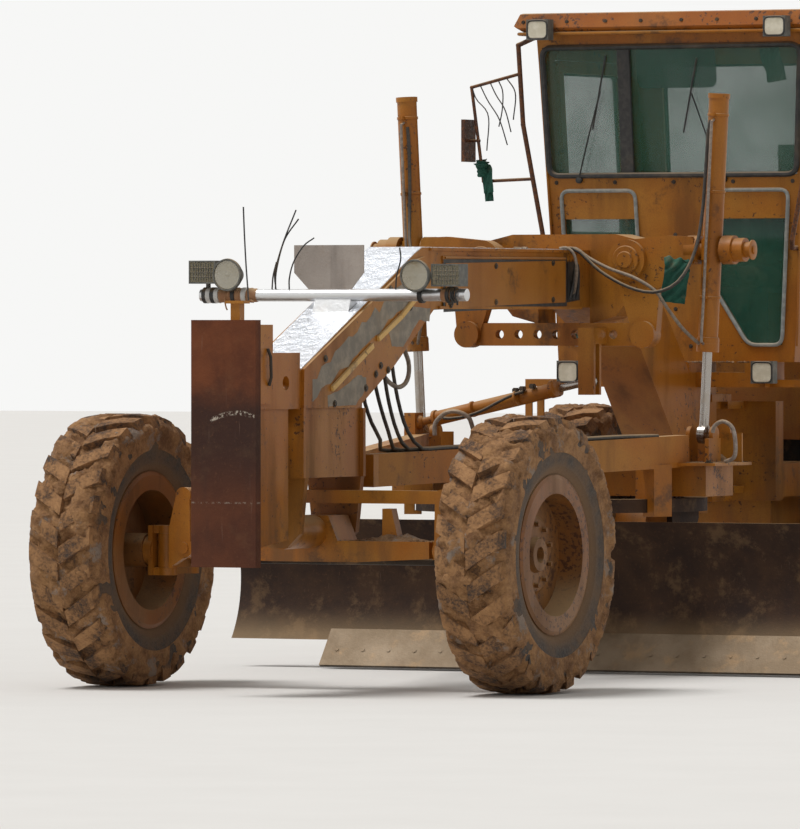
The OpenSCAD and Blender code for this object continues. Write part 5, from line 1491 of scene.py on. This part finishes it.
def keep_result(made):
    """The object's modifiers applied to its mesh."""
    bpy.context.view_layer.update()
    evaluated = made.evaluated_get(bpy.context.evaluated_depsgraph_get())
    done = bpy.data.meshes.new_from_object(evaluated)
    made.modifiers.clear()
    made.data = done
    return done


def cushion(name, shape, channel_axis, channels, press):
    """Swell the shape, then press channels into the side that looks the way press points."""
    made = shape.piece(name, "seat_cover", "front_frame")
    even = made.modifiers.new("even skin", "REMESH")
    even.mode = "VOXEL"
    even.voxel_size = SKIN
    start = [vert.co.copy() for vert in keep_result(made).vertices]
    cloth_like = made.modifiers.new("swell", "CLOTH")
    cloth_like.settings.use_pressure = True
    cloth_like.settings.uniform_pressure_force = PRESSURE
    cloth_like.settings.effector_weights.gravity = 0
    for moment in range(1, SWELL_FRAMES + 1):
        scene.frame_set(moment)
    swollen = keep_result(made)
    for vert, first in zip(swollen.vertices, start):
        move = vert.co - first
        if move.length > SWELL_CAP:
            vert.co = first + move.normalized() * SWELL_CAP
    scene.frame_set(1)
    finer = made.modifiers.new("finer", "SUBSURF")
    finer.levels = 1
    finer.render_levels = 1
    mesh = keep_result(made)
    facing = [vert.normal.dot(Vector(press)) > 0.5 for vert in mesh.vertices]
    for vert, faced in zip(mesh.vertices, facing):
        if faced:
            away = min(abs(vert.co[channel_axis] - line) for line in channels)
            vert.co -= Vector(press) * CHANNEL_DEPTH * math.exp(-(away / CHANNEL_WIDTH) ** 2)
    mesh.shade_smooth()
    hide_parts("seat_cushions")
    print(name, "faces:", len(mesh.polygons))


seat_pad = Shape().block((-226, 4786, 2034), (226, 5186, 2112), 26)
cushion("seat_pad", seat_pad, 1, [at(0, y, 0).y for y in (4880, 4970, 5060)], UP)
back_pad = Shape().slab([(-216, 5116, 2140), (-216, 5208, 2140), (-216, 5240, 2586), (-216, 5172, 2586)],
                        (432, 0, 0), 24)
cushion("back_pad", back_pad, 0, (-0.11, 0, 0.11), FRONT)

# %% [markdown]
# Soil lies wherever the machine has a ledge: low heaps with a noisy crown, and crumbs around
# them. A heap is a small height field with a flat hidden foot, closed by a wall round its rim.

# %% Heaps of soil
HEAP_STEPS = 22


def heap(shape, middle, length, width, high, seed):
    """A heap whose foot is at middle, length along x and width along y."""
    steps = HEAP_STEPS
    top = []
    foot = []
    for i in range(steps + 1):
        for k in range(steps + 1):
            u = i / steps * 2 - 1
            v = k / steps * 2 - 1
            x = middle[0] + u * length / 2
            y = middle[1] + v * width / 2
            edge = max(0, 1 - (u * u + v * v) ** 0.8)
            rough = noise.fractal(Vector((x, y, seed * 100)) / 60, 0.8, 2.1, 4)
            top.append(shape.mesh.verts.new(at(x, y, middle[2] - 2 + high * edge * (0.65 + rough * 0.7))))
            foot.append(shape.mesh.verts.new(at(x, y, middle[2] - 5)))
    wide = steps + 1
    for i in range(steps):
        for k in range(steps):
            a = i * wide + k
            shape.mesh.faces.new((top[a], top[a + 1], top[a + wide + 1], top[a + wide]))
            shape.mesh.faces.new((foot[a], foot[a + wide], foot[a + wide + 1], foot[a + 1]))
    rim = list(range(steps)) + [steps + i * wide for i in range(steps)]
    rim += [steps * wide + steps - i for i in range(steps)] + [(steps - i) * wide for i in range(steps)]
    for a, b in zip(rim, rim[1:] + rim[:1]):
        shape.mesh.faces.new((foot[a], foot[b], top[b], top[a]))


HEAPS = {
    "front_axle": [((-420, 0, 745), 360, 190, 40), ((400, 0, 745), 420, 190, 46)],
    "drawbar": [((-420, 2800, 1099), 700, 260, 60), ((330, 2840, 1099), 800, 240, 70),
                ((0, 2600, 1099), 420, 110, 40), ((860, 2900, 1099), 180, 150, 50)],
    "rear_frame": [((-300, 7530, 1160), 500, 130, 20), ((350, 7530, 1160), 420, 120, 18)],
    "front_frame": [((870, 4280, 540), 90, 130, 14), ((-870, 4280, 540), 90, 130, 14),
                    ((870, 4270, 850), 80, 110, 8), ((-870, 4290, 850), 80, 110, 9)],
}
for body, heaps in HEAPS.items():
    pile = Shape()
    for k, (middle, length, width, high) in enumerate(heaps):
        heap(pile, middle, length, width, high, k + 1)
    pile.piece(f"soil_{body}", "soil", body, crease=75)

# %% [markdown]
# Crumbs of soil are scattered by a fourth tree. It spreads points over flat patches, by a fixed
# seed, and puts a rough little stone of a random size and turn on each.

# %% Crumbs by Geometry Nodes
CRUMB_INPUTS = [("Density", NUMBER), ("Size", NUMBER), ("Seed", WHOLE), FINISH_INPUT]
crumb_tree, add, crumb_names = make_tree("crumbs", CRUMB_INPUTS)
source = add("NodeGroupInput")
spots = add("GeometryNodeDistributePointsOnFaces", None,
            {"Mesh": source.outputs[0], "Density": source.outputs["Density"],
             "Seed": source.outputs["Seed"]})
stone = add("GeometryNodeMeshIcoSphere", None, {"Radius": source.outputs["Size"], "Subdivisions": 1})
sizes = add("FunctionNodeRandomValue", {"data_type": "FLOAT_VECTOR"}, {"Seed": 11})
sizes.inputs[0].default_value = (0.2, 0.2, 0.15)
sizes.inputs[1].default_value = (1.2, 1.2, 0.7)
angles = add("FunctionNodeRandomValue", {"data_type": "FLOAT_VECTOR"}, {"Seed": 12})
angles.inputs[1].default_value = (0.6, 0.6, math.tau)
scattered = add("GeometryNodeInstanceOnPoints", None,
                {"Points": spots.outputs["Points"], "Instance": stone.outputs["Mesh"],
                 "Rotation": angles.outputs[0], "Scale": sizes.outputs[0]})
finish_tree(add, source, scattered.outputs[0])

PATCHES = {
    "front_axle": [(-640, -100, 640, 100, 746)],
    "drawbar": [(-970, 2560, 970, 2990, 1100)],
    "rear_frame": [(-690, 7455, 690, 7605, 1161)],
    "front_frame": [(825, 4205, 915, 4355, 541), (-915, 4205, -825, 4355, 541),
                    (-500, 4012, 500, 4190, 1616)],
    "tandem_left": [(670, 5700, 842, 6700, 891)],
    "tandem_right": [(-842, 5700, -670, 6700, 891)],
}
for body, patches in PATCHES.items():
    corners = []
    for x0, y0, x1, y1, z in patches:
        corners += [at(x0, y0, z), at(x1, y0, z), at(x1, y1, z), at(x0, y1, z)]
    carrier = bpy.data.meshes.new("patches")
    carrier.from_pydata(corners, [], [tuple(range(k, k + 4)) for k in range(0, len(corners), 4)])
    grow(f"crumbs_{body}", crumb_tree, crumb_names, carrier, "soil", body,
         Density=900.0, Size=0.009, Seed=3)

# %% [markdown]
# The floor is one wide sheet in a dull warm grey, so that the wheels throw a soft shadow. It is
# part of the studio and not of the machine.

# %% Floor
FLOOR_REACH = 120
floor_finish = Finish("floor")
grains = floor_finish.noise(1.4, 6)
tone = floor_finish.mix(grains, (0.66, 0.64, 0.61), (0.72, 0.70, 0.67))
floor_finish.set(Base_Color=tone, Roughness=0.95)
floor_mesh = bpy.data.meshes.new("floor")
corners = [(x * FLOOR_REACH, y * FLOOR_REACH, 0) for x, y in ((-1, -1), (1, -1), (1, 1), (-1, 1))]
floor_mesh.from_pydata(corners, [], [(0, 1, 2, 3)])
floor = bpy.data.objects.new("floor", floor_mesh)
floor.data.materials.append(floor_finish.material)
scene.collection.objects.link(floor)
print("floor in m:", 2 * FLOOR_REACH)

# %% [markdown]
